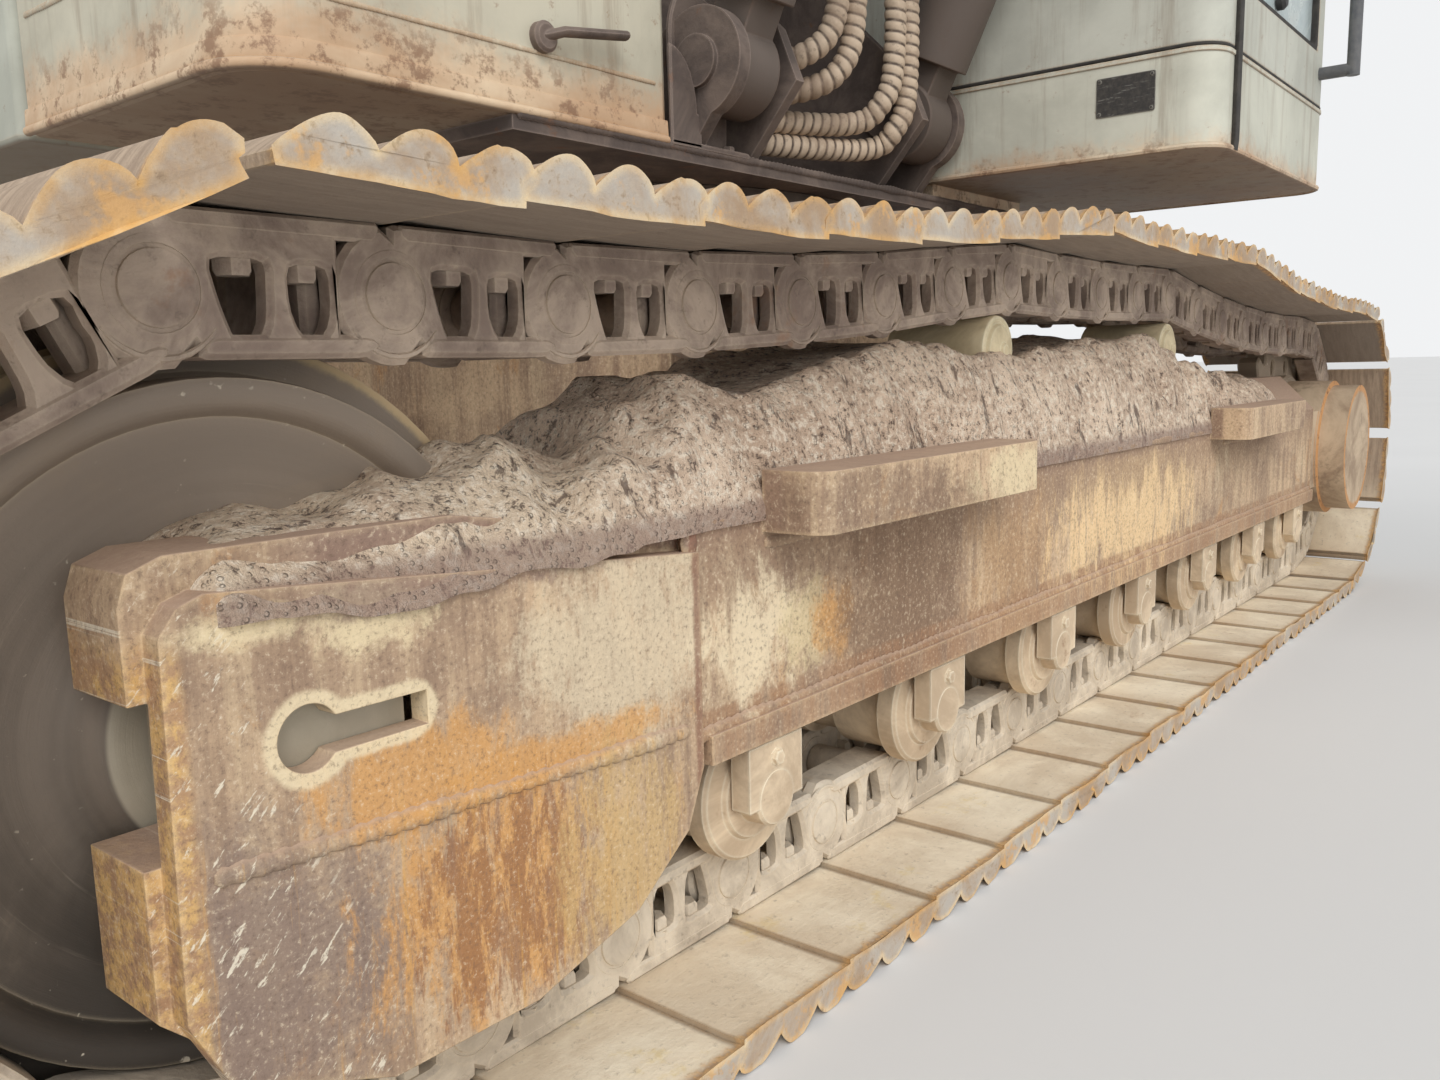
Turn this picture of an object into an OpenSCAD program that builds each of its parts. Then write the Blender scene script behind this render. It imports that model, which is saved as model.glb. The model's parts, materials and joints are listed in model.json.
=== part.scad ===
// Crawler excavator, 30 tonne class, parked with its house turned square to the tracks.
// Origin on the ground under the swing centre, Z up, tracks along X, house facing -Y.
// Pieces of the boom group are drawn in side view: first axis forward (u = -Y), second axis up.

/* [Tracks] */
// Distance between the centres of the two tracks
track_gauge = 2590; // [2200:10:3000]
// Distance between idler axle and sprocket axle
tumbler_distance = 3700; // [3000:10:4600]
// Width of a track shoe
shoe_w = 600; // [450:10:800]
// Distance between two pins of the chain
link_pitch = 216; // [190:1:228]
// Height of the pins of the bottom run above the ground
pin_height = 104; // [95:1:120]
// Height of a grouser bar above the shoe plate
grouser_h = 28; // [15:1:35]
// Thickness of a shoe plate
shoe_t = 12; // [8:1:20]
// Distance from the pins to the rail that runs on the rollers
rail_drop = 55; // [45:1:65]
// Half width of the chain over its outer links
chain_half_w = 115; // [100:1:130]
// Radius of the pin circle round the idler
idler_pin_r = 368; // [330:1:400]
// Rise of the top run over the carrier rollers, above the idler's top pin
top_rise = 68; // [40:1:90]
// Teeth of the sprocket
sprocket_teeth = 21; // [19:2:23]
// Track rollers on one side
roller_count = 7; // [5:1:9]
// Thickness of the idler guard plate
guard_t = 25; // [16:1:40]

/* [House] */
// Half width of the house over its side panels
house_half_w = 1468; // [1300:1:1600]
// Height of the underside of the revolving frame
deck_z = 1167; // [1100:1:1250]
// Distance from swing centre to the front edge of the deck
deck_front = 793; // [650:1:900]
// Tail swing radius at the counterweight
tail_radius = 3350; // [3000:10:3700]
// Height of the engine hood above the ground
hood_z = 2560; // [2300:10:2800]
// Forward end of the cab from the swing centre
cab_front = 1507; // [1300:1:1700]
// Rear end of the cab behind the swing centre
cab_rear = 360; // [200:10:600]
// Inner side of the cab from the centre plane
cab_inner = 435; // [420:1:600]
// Height of the cab roof above the ground
cab_top = 3080; // [2900:10:3300]
// Thickness of the cab walls
cab_wall = 45; // [30:1:70]

/* [Boom, arm and bucket] */
// Sideways place of the boom's middle plane
boom_x = -60; // [-100:5:0]
// Boom length between its pins
boom_len = 6200; // [5600:10:6800]
// Boom width over its side plates
boom_w = 480; // [420:5:500]
// Boom angle as parked
boom_angle = 27; // [15:1:45]
// Arm length between pivot and bucket pin
arm_len = 3100; // [2500:10:3200]
// Direction of the arm as parked
arm_angle = 265; // [250:1:275]
// Direction of the bucket teeth as parked
bucket_angle = 270; // [262:1:280]
// Bucket width over its side plates
bucket_w = 1250; // [900:10:1500]
// Boom cylinder bore tube radius
boom_tube_r = 85; // [70:1:90]
// Arm cylinder bore tube radius
arm_tube_r = 92; // [70:1:100]
// Bucket cylinder bore tube radius
bucket_tube_r = 80; // [60:1:90]

/* [Hidden] */
$fn = 64;

paint = "#9aa396";
dirt = "#8b7355";
steel_dark = "#4c443d";
rust = "#7a5236";
glass = "#a9c4c8";
rest = 0.5;       // gap of a closed lid or door on its seat
gap = 6;          // running gap between pieces that move past each other
seat = 0.3;       // gap where curved pieces of two bodies rest on each other

// Chain path: bottom run, idler arc, top run and sprocket arc, measured along the pins
idler_x = -tumbler_distance / 2;
sprocket_x = tumbler_distance / 2;
idler_z = pin_height + idler_pin_r;
sprocket_pin_r = sprocket_teeth * link_pitch / (4 * PI);
sprocket_z = pin_height + sprocket_pin_r;
run = tumbler_distance;
idler_arc = PI * idler_pin_r;
sprocket_arc = PI * sprocket_pin_r;
chain_len = 2 * run + idler_arc + sprocket_arc;
link_count = round(chain_len / link_pitch);
link_step = chain_len / link_count;
chain_phase = 0.27;
bushing_r = 29;
rail_gap = 80;
shoe_face = 64;
band_t = 6;
carrier_x = run * 0.122;
carrier_r = 62;
roller_r = 77;
end_sag = 30;
mid_sag = 8;
top_z = idler_z + idler_pin_r;
carrier_pin_z = top_z + top_rise;
sprocket_top_z = sprocket_z + sprocket_pin_r;
track_y = track_gauge / 2;
shoe_tip = shoe_face + shoe_t + grouser_h;
carrier_z = min(chain_z(-carrier_x), chain_z(carrier_x)) - rail_drop - carrier_r - 2 * seat;

// Height of the top run: three spans between idler, two carrier rollers and sprocket, each with its sag
function span_z(x, x0, z0, x1, z1, sag) =
    let (t = (x - x0) / (x1 - x0)) z0 + (z1 - z0) * t - 4 * sag * t * (1 - t);
function top_run_z(x) =
    x < -carrier_x ? span_z(x, idler_x, top_z, -carrier_x, carrier_pin_z, end_sag)
    : x < carrier_x ? span_z(x, -carrier_x, carrier_pin_z, carrier_x, carrier_pin_z, mid_sag)
    : span_z(x, carrier_x, carrier_pin_z, sprocket_x, sprocket_top_z, end_sag);
function on_path(s) =
    s < run ? [sprocket_x - s, pin_height]
    : s < run + idler_arc ? let (a = (s - run) / idler_pin_r * 180 / PI)
        [idler_x - idler_pin_r * sin(a), idler_z - idler_pin_r * cos(a)]
    : s < 2 * run + idler_arc ? let (x = idler_x + s - run - idler_arc) [x, top_run_z(x)]
    : let (a = (s - 2 * run - idler_arc) / sprocket_pin_r * 180 / PI)
        [sprocket_x + sprocket_pin_r * sin(a), sprocket_z + sprocket_pin_r * cos(a)];
function pin_s(k) = (((k + chain_phase) % link_count + link_count) % link_count) * link_step;
function pin_at(k) = on_path(pin_s(k));
function unit(v) = v / norm(v);
// Lowest chain height over a carrier roller, between the pins that straddle it
function chain_z(x) = min([for (k = [0:link_count - 1]) let (a = pin_at(k), b = pin_at(k + 1))
    if (a[1] > idler_z && a[0] < x + carrier_r / 2 && b[0] > x - carrier_r / 2)
        a[1] + (b[1] - a[1]) * max(0, min(1, (x - a[0]) / (b[0] - a[0])))]);
function link_dir(k) = unit(pin_at(k + 1) - pin_at(k));
function outward(d) = [-d[1], d[0]];
function link_out(k) = outward(link_dir(k));
function pin_out(k) = unit(link_out(k - 1) + link_out(k));
function in_link(k, p) = pin_at(k) + link_dir(k) * p[0] + link_out(k) * p[1];
function offset_loop(d) = [for (k = [0:link_count - 1]) pin_at(k) + pin_out(k) * d];

// Section of one shoe along the link: edge gap, plate, then three grouser bars
shoe_edge = 3;
grouser_w = 22;
function shoe_section() =
    let (plate = shoe_face + shoe_t, tip = shoe_tip, last = link_pitch - shoe_edge - 2)
    concat(
        [[shoe_edge, shoe_face], [shoe_edge, tip]],
        [[shoe_edge + grouser_w * 0.5, tip], [shoe_edge + grouser_w * 1.3, plate]],
        [for (p = [[-1, 0], [-0.4, 1], [0.4, 1], [1, 0]])
            [link_pitch * 0.36 + p[0] * grouser_w, plate + p[1] * grouser_h]],
        [for (p = [[-1, 0], [-0.4, 1], [0.4, 1], [1, 0]])
            [link_pitch * 0.68 + p[0] * grouser_w, plate + p[1] * grouser_h]],
        [[last, plate], [last, shoe_face]]);
function shoe_loop() = [for (k = [0:link_count - 1]) for (p = shoe_section()) in_link(k, p)];

// Boom group: pins in side view, each pose given by a turn in the plane of the boom
function turn(a, p) = [p[0] * cos(a) - p[1] * sin(a), p[0] * sin(a) + p[1] * cos(a)];
boom_foot = [250, 1950];
lift_foot = [800, 1360];
lift_pin_in_boom = [boom_len * 0.419, 980];
arm_base_in_boom = [boom_len * 0.508, 1500];
arm_heel_in_arm = [-740, 420];
bucket_base_in_arm = [500, 720];
rocker_back = 420;
rocker_up = 30;
rocker_len = 620;
link_len = 600;
link_pin_in_bucket = [-50, 457];
boom_tip = boom_foot + turn(boom_angle, [boom_len, 0]);
lift_pin = boom_foot + turn(boom_angle, lift_pin_in_boom);
arm_base = boom_foot + turn(boom_angle, arm_base_in_boom);
arm_heel = boom_tip + turn(arm_angle, arm_heel_in_arm);
bucket_pin = boom_tip + turn(arm_angle, [arm_len, 0]);
bucket_base = boom_tip + turn(arm_angle, bucket_base_in_arm);
rocker_pin = boom_tip + turn(arm_angle, [arm_len - rocker_back, rocker_up]);
link_pin = bucket_pin + turn(bucket_angle, link_pin_in_bucket);
// Where rocker and link meet: the outer crossing of their two circles
link_gap = norm(link_pin - rocker_pin);
link_way = (link_pin - rocker_pin) / link_gap;
link_foot = (rocker_len * rocker_len - link_len * link_len + link_gap * link_gap) / (2 * link_gap);
link_rise = sqrt(rocker_len * rocker_len - link_foot * link_foot);
rocker_end = rocker_pin + link_way * link_foot + [-link_way[1], link_way[0]] * link_rise;
function heading(a, b) = atan2(b[1] - a[1], b[0] - a[0]);
boom_pin_r = 50;
bucket_pin_r = 45;
rocker_pin_r = 42;
eye_pin_r = 40;
fit = 0.05;        // radial clearance of a pin that turns in its bore
bracket_t = 28;
arm_w = boom_w - 80;
lift_eye_w = 110;
lift_side = boom_w / 2 + gap + 1 + bracket_t + gap + boom_tube_r;

// Side-view piece: outline in (forward, up), thickness across X about the plane x
module fore(t, x = boom_x) {
    translate([x, 0, 0]) rotate([90, 0, -90]) linear_extrude(height = t, center = true) children();
}
// Cylinder along X at a side-view point
module pin_x(r, l, p, x = boom_x) {
    translate([x, -p[0], p[1]]) rotate([0, 90, 0]) cylinder(r = r, h = l, center = true);
}
// Box from its near corner and far corner in (x, forward, up)
module block(a, b) {
    translate([a[0], -b[1], a[2]]) cube([b[0] - a[0], b[1] - a[1], b[2] - a[2]]);
}
// Track-side piece: outline in (X, Z), thickness across Y
module across(t, y) {
    translate([0, y, 0]) rotate([90, 0, 0]) linear_extrude(height = t, center = true) children();
}
module axle_y(r, l, x, y, z) {
    translate([x, y, z]) rotate([90, 0, 0]) cylinder(r = r, h = l, center = true);
}
// Thick bar between two side-view points
module bar(a, b, w) {
    translate(a) rotate(heading(a, b)) translate([0, -w / 2]) square([norm(b - a), w]);
}

// Undercarriage
frame_half = 195;
frame_in = track_y - frame_half;
car_half_x = 650;
car_half_y = 820;
car_z0 = 480;
car_z1 = 985;
car_arch_r = 170;
ring_seat_z = 1015;
ring_r = 720;
ring_wall = 130;
module car_body() {
    color(dirt) {
        difference() {
            block([-car_half_x, -car_half_y, car_z0], [car_half_x, car_half_y, car_z1]);
            for (sy = [-1, 1]) translate([0, sy * car_half_y, car_z0]) rotate([0, 90, 0])
                cylinder(r = car_arch_r, h = 2 * car_half_x + 100, center = true, $fn = 48);
        }
        for (sx = [-1, 1], sy = [-1, 1])
            frame_leg(sx, sy);
        translate([0, 0, car_z1]) cylinder(r = ring_r - 20, h = ring_seat_z - car_z1);
        tow_eyes();
    }
}
leg_out = 980;
leg_z = 400;
leg_h = 330;
module frame_leg(sx, sy) {
    translate([0, 0, leg_z]) linear_extrude(height = leg_h)
        polygon([[sx * 280, sy * 500], [sx * 620, sy * 500], [sx * leg_out, sy * frame_in],
                 [sx * (leg_out - 420), sy * frame_in]]);
}
// Tow eyes: a plate at each end of the car body with an upright hole
tow_r = 30;
tow_t = 50;
tow_z = 560;
tow_x = 720;
module tow_eyes() {
    for (sx = [-1, 1]) difference() {
        translate([sx * (tow_x - 20) - 90, -80, tow_z]) cube([180, 160, tow_t]);
        translate([sx * tow_x, 0, tow_z - 5]) cylinder(r = tow_r, h = tow_t + 10);
    }
}
module slew_ring() {
    color(steel_dark) difference() {
        translate([0, 0, ring_seat_z]) cylinder(r = ring_r, h = deck_z - ring_seat_z - seat, $fn = 96);
        translate([0, 0, ring_seat_z - 15]) cylinder(r = ring_r - ring_wall, h = 200, $fn = 96);
    }
}

// Track frame: roofed box, bottom ledge, steps, idler guard with its keyhole slot
frame_x0 = idler_x + 460;
frame_x1 = sprocket_x - 250;
ledge_z = 314;
ledge_t = 36;
ledge_w = 45;
// Steps on the outer side: where each begins and ends, how far they stand out, their height
steps_x = [[-1255, -650], [530, 1095]];
step_out = 90;
step_z = 570;
step_h = 75;
step_r = 30;
sprocket_slot_r = sprocket_pin_r + 24 + 25;
sprocket_slot_w = 110;
frame_eave = 600;
frame_ridge = 700;
guard_out = 205;
module frame_section() {
    polygon([[-frame_half, ledge_z + ledge_t], [frame_half, ledge_z + ledge_t], [frame_half, frame_eave],
             [95, frame_ridge], [-95, frame_ridge], [-frame_half, frame_eave]]);
}
module guard_outline() {
    polygon([[idler_x - 92, 612], [idler_x - 112, 605], [idler_x - 127, 585], [idler_x - 130, 400],
             [idler_x - 132, 292], [idler_x - 100, 225], [idler_x + 40, 162], [idler_x + 205, 156],
             [idler_x + 351, 192], [idler_x + 436, 253], [idler_x + 465, 320], [idler_x + 465, 565]]);
}
module keyhole() {
    translate([idler_x - 17, 483]) circle(r = 27.5);
    translate([idler_x - 17, 466]) square([113, 30]);
}
module track_frame(side) {
    y = side * track_y;
    color(dirt) {
        difference() {
            translate([frame_x0, y, 0]) rotate([90, 0, 90]) linear_extrude(height = frame_x1 - frame_x0)
                frame_section();
            translate([sprocket_x - sprocket_slot_r, y - sprocket_slot_w / 2, 300])
                cube([sprocket_slot_r, sprocket_slot_w, 500]);
        }
        for (f = [-1, 1]) translate([frame_x0 + 20, y + f * (guard_out - ledge_w / 2) - ledge_w / 2, ledge_z])
            cube([frame_x1 - frame_x0 - 20, ledge_w, ledge_t]);
        for (s = steps_x) step(s[0], s[1], y, side);
        for (f = [-1, 1]) {
            across(guard_t, y + f * (guard_out - guard_t / 2)) difference() {
                guard_outline();
                keyhole();
            }
            across(jaw_w, y + f * (guard_out - guard_t - jaw_w / 2)) idler_jaw();
        }
        for (x = [-carrier_x, carrier_x]) carrier_bracket(x, y, side);
    }
}
jaw_w = 90;
jaw_x = idler_x - 142;
module idler_jaw() {
    difference() {
        polygon([[jaw_x + 34, 640], [jaw_x + 8, 630], [jaw_x, 606], [jaw_x, 290], [jaw_x + 26, 264],
                 [idler_x + 60, 262], [frame_x0 + 5, 360], [frame_x0 + 5, 590], [idler_x + 150, 640]]);
        translate([idler_x - 200, idler_z - axle_slot_h / 2]) square([330, axle_slot_h]);
    }
}
// Step: a slab with rounded outer corners
module step(x0, x1, y, side) {
    y1 = y + side * (frame_half + step_out);
    translate([0, 0, step_z]) linear_extrude(height = step_h) union() {
        translate([x0, min(y + side * frame_half, y1 - side * step_r)])
            square([x1 - x0, step_out - step_r]);
        translate([x0 + step_r, min(y + side * frame_half, y1)]) square([x1 - x0 - 2 * step_r, step_out]);
        for (x = [x0 + step_r, x1 - step_r]) translate([x, y1 - side * step_r]) circle(r = step_r);
    }
}
carrier_arm = [140, 60];
module carrier_bracket(x, y, side) {
    translate([x - carrier_arm[0] / 2, y - side * 145 - carrier_arm[1] / 2, frame_eave])
        cube([carrier_arm[0], carrier_arm[1], carrier_z - frame_eave + 20]);
}

module track(side) {
    y = side * track_y;
    color(rust) across(shoe_w, y) difference() {
        polygon(shoe_loop());
        polygon(offset_loop(shoe_face - band_t));
    }
    color(steel_dark) {
        for (f = [-1, 1]) across(chain_half_w - rail_gap / 2, y + f * (chain_half_w + rail_gap / 2) / 2)
            difference() {
                polygon(offset_loop(shoe_face));
                polygon(offset_loop(-rail_drop));
            }
        for (k = [0:link_count - 1]) let (p = pin_at(k)) axle_y(bushing_r, rail_gap + 20, p[0], y, p[1]);
    }
}
idler_half = 78;
module idler(side) {
    color(steel_dark) for (f = [-1, 1])
        translate([idler_x - 90, side * track_y + f * 134 - 44, idler_z - axle_slot_h / 2 + seat])
            cube([180, 88, axle_slot_h - 2 * seat]);
    color(steel_dark) translate([idler_x, side * track_y, idler_z]) rotate([90, 0, 0]) rotate_extrude($fn = 96)
        difference() {
            polygon([[0, -idler_half - 12], [110, -idler_half - 12], [120, -idler_half + 20],
                     [idler_tread - 42, -idler_half + 20], [idler_tread - 32, -idler_half],
                     [idler_tread - 8, -idler_half],
                     [idler_tread, -idler_half + 8], [idler_tread, -rail_gap / 2 + 4],
                     [idler_flange, -rail_gap / 2 + 10], [idler_flange, rail_gap / 2 - 10],
                     [idler_tread, rail_gap / 2 - 4], [idler_tread, idler_half - 8],
                     [idler_tread - 8, idler_half], [idler_tread - 32, idler_half],
                     [idler_tread - 42, idler_half - 20],
                     [120, idler_half - 20], [110, idler_half + 12], [0, idler_half + 12]]);
        }
}
idler_tread = sqrt(idler_pin_r * idler_pin_r - link_pitch * link_pitch / 4) - rail_drop - seat;
idler_flange = idler_pin_r - bushing_r - 6;
axle_slot_h = 124;

// Sprocket: teeth between the bushings, its phase taken from the first pin on its arc
first_pin = ceil((2 * run + idler_arc) / link_step - chain_phase);
first_angle = (pin_s(first_pin) - 2 * run - idler_arc) / sprocket_pin_r * 180 / PI;
module sprocket(side) {
    tooth_angle = 360 / sprocket_teeth;
    color(steel_dark) translate([sprocket_x, side * track_y, sprocket_z]) {
        rotate([90, 0, 0]) linear_extrude(height = rail_gap - 14, center = true) difference() {
            circle(r = sprocket_pin_r + 24, $fn = 96);
            for (i = [0:sprocket_teeth - 1]) rotate(90 - first_angle - i * tooth_angle)
                translate([sprocket_pin_r + 4, 0]) circle(r = bushing_r + 9);
        }
        translate([0, side * 45, 0]) rotate([90, 0, 0]) cylinder(r = 235, h = 50, center = true);
    }
}
module final_drive(side) {
    y = side * track_y;
    color(dirt) {
        translate([sprocket_x, y + side * 70, sprocket_z]) rotate([side * -90, 0, 0]) {
            cylinder(r = 215, h = 130);
            cylinder(r = 200, h = 207);
        }
        translate([sprocket_x, y - side * 33, sprocket_z]) rotate([side * 90, 0, 0]) cylinder(r = 190, h = 150);
        for (f = [[70, 125], [-183, 123]])
            translate([frame_x1, side > 0 ? y + f[0] : y - f[0] - f[1], 350])
                cube([sprocket_x - frame_x1, f[1], 240]);
    }
}
roller_z = pin_height + rail_drop + roller_r + seat;
roller_end = 150;
roller_step = (frame_x1 - frame_x0 - 2 * roller_end) / (roller_count - 1);
module rollers(side) {
    y = side * track_y;
    color(steel_dark) {
        for (i = [0:roller_count - 1])
            translate([frame_x0 + roller_end + i * roller_step, y, roller_z]) rotate([90, 0, 0]) {
                cylinder(r = roller_r - 14, h = 66, center = true);
                for (f = [-1, 1]) translate([0, 0, f * 78]) cylinder(r = roller_r, h = 90, center = true);
                for (f = [-1, 1]) translate([0, 0, f * 140])
                    cylinder(r = roller_r + 14, h = 34, center = true);
                cylinder(r = 38, h = 400, center = true);
                for (f = [-1, 1]) translate([-55, -10, f * 185 - 14])
                    cube([110, ledge_z - roller_z + 10, 28]);
            }
        for (x = [-carrier_x, carrier_x]) axle_y(carrier_r, 240, x, y + side * 5, carrier_z);
    }
}

// House: deck plates, boom brackets and the boxes that stand on the deck
deck_t = 25;
body_z = deck_z + deck_t;
beam_x = 580;
beam_w = 40;
beam_z = 1400;
deck_box_in = 607;
deck_box_rear = 60;
deck_box_z = 1640;
corner_r = 120;
tank_rear = -1330;
tank_z = 2240;
box_rear = -2230;
side_z = 2180;
box_in = 620;
weight_front = -2290;
plate_in = boom_w / 2 + gap + 1;
outer_plate = lift_side + lift_eye_w / 2 + gap;
outer_plate_t = 34;
module revolving_frame() {
    color(paint) {
        block([-1000, weight_front, deck_z], [1000, deck_front, deck_z + deck_t]);
        for (x = [-beam_x, beam_x])
            block([x - beam_w / 2, weight_front, body_z], [x + beam_w / 2, -cab_rear - 40, beam_z]);
        block([-beam_x, -1040, body_z], [beam_x, -1000, beam_z]);
    }
    color(steel_dark) {
        for (s = [-1, 1]) {
            fore(bracket_t, boom_x + s * (plate_in + bracket_t / 2)) bracket_outline();
            fore(outer_plate_t, boom_x + s * (outer_plate + outer_plate_t / 2)) lug_outline();
        }
        pin_x(boom_pin_r, 2 * (plate_in + bracket_t + 15), boom_foot);
        for (s = [-1, 1])
            pin_x(boom_pin_r, outer_plate + outer_plate_t - plate_in + 24, lift_foot,
                  boom_x + s * (outer_plate + outer_plate_t + plate_in) / 2);
    }
}
module bracket_outline() {
    difference() {
        union() {
            polygon([[-960, body_z], [deck_front - 20, body_z], [lift_foot[0] + 105, lift_foot[1] - 20],
                     [lift_foot[0] + 60, lift_foot[1] + 90], [boom_foot[0] + 145, boom_foot[1] - 40],
                     [boom_foot[0] - 160, boom_foot[1] + 20], [-960, 1560]]);
            translate(boom_foot) circle(r = 150);
        }
        for (p = [boom_foot, lift_foot]) translate(p) circle(r = boom_pin_r);
        translate([150, 1420]) circle(r = 130);
    }
}
module lug_outline() {
    difference() {
        union() {
            polygon([[450, body_z], [deck_front - 20, body_z], [lift_foot[0] + 100, lift_foot[1] - 20],
                     [lift_foot[0] - 60, lift_foot[1] + 85], [450, lift_foot[1] - 30]]);
            translate(lift_foot) circle(r = 105);
        }
        translate(lift_foot) circle(r = boom_pin_r);
    }
}
// Plan outline of a box with its outer front corner rounded; u runs forward
module box_plan(x_in, x_out, u_rear, u_front, r) {
    s = sign(x_out - x_in);
    difference() {
        translate([min(x_in, x_out), -u_front]) square([abs(x_out - x_in), u_front - u_rear]);
        translate([x_out - s * r, -u_front + r]) difference() {
            translate([s > 0 ? 0 : -r - 1, -r - 1]) square([r + 1, r + 1]);
            circle(r = r);
        }
    }
}
module deck_box() {
    color(paint) difference() {
        translate([0, 0, body_z]) linear_extrude(height = deck_box_z - body_z)
            box_plan(-deck_box_in, -house_half_w, deck_box_rear, deck_front, corner_r);
        translate([0, 0, body_z + 40]) linear_extrude(height = deck_box_z)
            box_plan(-deck_box_in - 30, -house_half_w + 30,
                     deck_box_rear + 30, deck_front - 30, corner_r - 30);
    }
}
lid_t = 30;
module deck_box_lid() {
    color(paint) translate([0, 0, deck_box_z + rest]) linear_extrude(height = lid_t)
        box_plan(-deck_box_in, -house_half_w, deck_box_rear + 4, deck_front, corner_r);
    color(steel_dark) for (x = [-1300, -780])
        pin_x(12, 90, [deck_box_rear + 4, deck_box_z + rest + lid_t], x);
}
module tanks() {
    color(paint) {
        translate([0, 0, body_z]) linear_extrude(height = tank_z - body_z)
            box_plan(-deck_box_in - 20, -house_half_w, -640, deck_box_rear - 30, 20);
        block([-house_half_w, tank_rear, body_z], [-deck_box_in - 20, -640, tank_z + 40]);
    }
    color(steel_dark) for (u = [-300, -960]) translate([-1000, -u, tank_z - 20]) cylinder(r = 60, h = 110);
}
// Side compartment: floor, ends and roof round an opening closed by the side door
module side_box(s, u_rear, u_front) {
    mirror([s > 0 ? 0 : 1, 0, 0]) color(paint) difference() {
        block([box_in, u_rear, body_z], [house_half_w, u_front, side_z]);
        block([box_in + 40, u_rear + 45, body_z + 45], [house_half_w + 10, u_front - 45, side_z - 40]);
    }
}
side_front_left = -cab_rear - 40;
side_front_right = tank_rear - 10;
door_t = 28;
knuckle_r = 14;
module side_door(s, u_rear, u_front) {
    w = s * (house_half_w + rest + door_t / 2);
    color(paint)
        block([w - door_t / 2, u_rear + 20, body_z + 20], [w + door_t / 2, u_front - 20, side_z - 20]);
    color(steel_dark) {
        translate([w + s * (door_t / 2 + 12), -(u_front - 90), 1750]) cube([30, 40, 160], center = true);
        for (z = [body_z + 150, side_z - 150]) translate([w + s * door_t / 2, -u_rear - 20, z])
            cylinder(r = knuckle_r, h = 110, center = true);
    }
}
engine_size = [1050, 760, 820];
module engine_block() {
    color(steel_dark) {
        translate([-engine_size[0] / 2, 1750 - engine_size[1] / 2, 1330]) cube(engine_size);
        for (s = [-1, 1]) translate([s * 380 - 60, 1750 - 200, body_z]) cube([120, 400, 1330 - body_z]);
    }
}
hood_front = tank_rear - 40;
hood_hinge_z = 2310;
module engine_hood() {
    color(paint) {
        difference() {
            translate([0, -hood_front, side_z + rest]) rotate([90, 0, 90]) translate([0, 0, -900])
                linear_extrude(height = 1800) hood_section(0);
            translate([0, -hood_front, side_z + rest - 1]) rotate([90, 0, 90]) translate([0, 0, -870])
                linear_extrude(height = 1740) hood_section(30);
        }
    }
    color(steel_dark) for (x = [-600, 600])
        translate([x, -hood_front - knuckle_r + 2, hood_hinge_z]) rotate([0, 90, 0])
            cylinder(r = knuckle_r, h = 120, center = true);
}
module hood_section(t) {
    h = hood_z - side_z - rest;
    w = -weight_front + hood_front;
    polygon([[t, 0], [w - 40 - t, 0], [w - 40 - t, h - 60 - t],
             [w - 120, h - t], [160, h - t], [t, h - 120 - t]]);
}
module exhaust_stack() {
    color(rust) {
        translate([1150, 1900, side_z]) cylinder(r = 95, h = 40);
        translate([1150, 1900, side_z + 40]) cylinder(r = 62, h = 480);
    }
}
module counterweight() {
    color(paint) difference() {
        translate([0, 0, body_z]) linear_extrude(height = 1080) intersection() {
            translate([-house_half_w, -weight_front]) square([2 * house_half_w, 1100]);
            circle(r = tail_radius, $fn = 128);
        }
        for (s = [-1, 1]) translate([s * lift_eye_x, -weight_front + 520, body_z + 1080 - 120])
            cylinder(r = lift_eye_r, h = 200);
    }
}
lift_eye_x = 700;
lift_eye_r = 27;

// Cab: base box, shell of walls with windows, glass, door in the outer side
cab_base_z = 1235;
cab_seam = 1461;
roof_t = 60;
cab_r = 80;
post = 90;
win_z0 = 1760;
win_z1 = cab_top - roof_t - 90;
front_sill = 1600;
door_u0 = 40;
door_u1 = 1080;
pane = 8;
module cab_plan(inset) {
    difference() {
        translate([cab_inner + inset, -cab_front + inset])
            square([house_half_w - cab_inner - 2 * inset, cab_front + cab_rear - 2 * inset]);
        for (c = [[cab_inner, 1], [house_half_w, -1]])
            translate([c[0] + c[1] * cab_r, -cab_front + cab_r]) difference() {
                translate([c[1] > 0 ? -cab_r - 1 : 0, -cab_r - 1]) square([cab_r + 1, cab_r + 1]);
                circle(r = cab_r - inset);
            }
    }
}
module cab_base() {
    color(paint) {
        translate([0, 0, cab_base_z]) linear_extrude(height = cab_seam - cab_base_z - gap) cab_plan(0);
        translate([0, 0, cab_seam - gap]) linear_extrude(height = gap) cab_plan(30);
        block([cab_inner + 30, -cab_rear + 30, body_z], [1000, deck_front - 10, cab_base_z]);
    }
}
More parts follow.
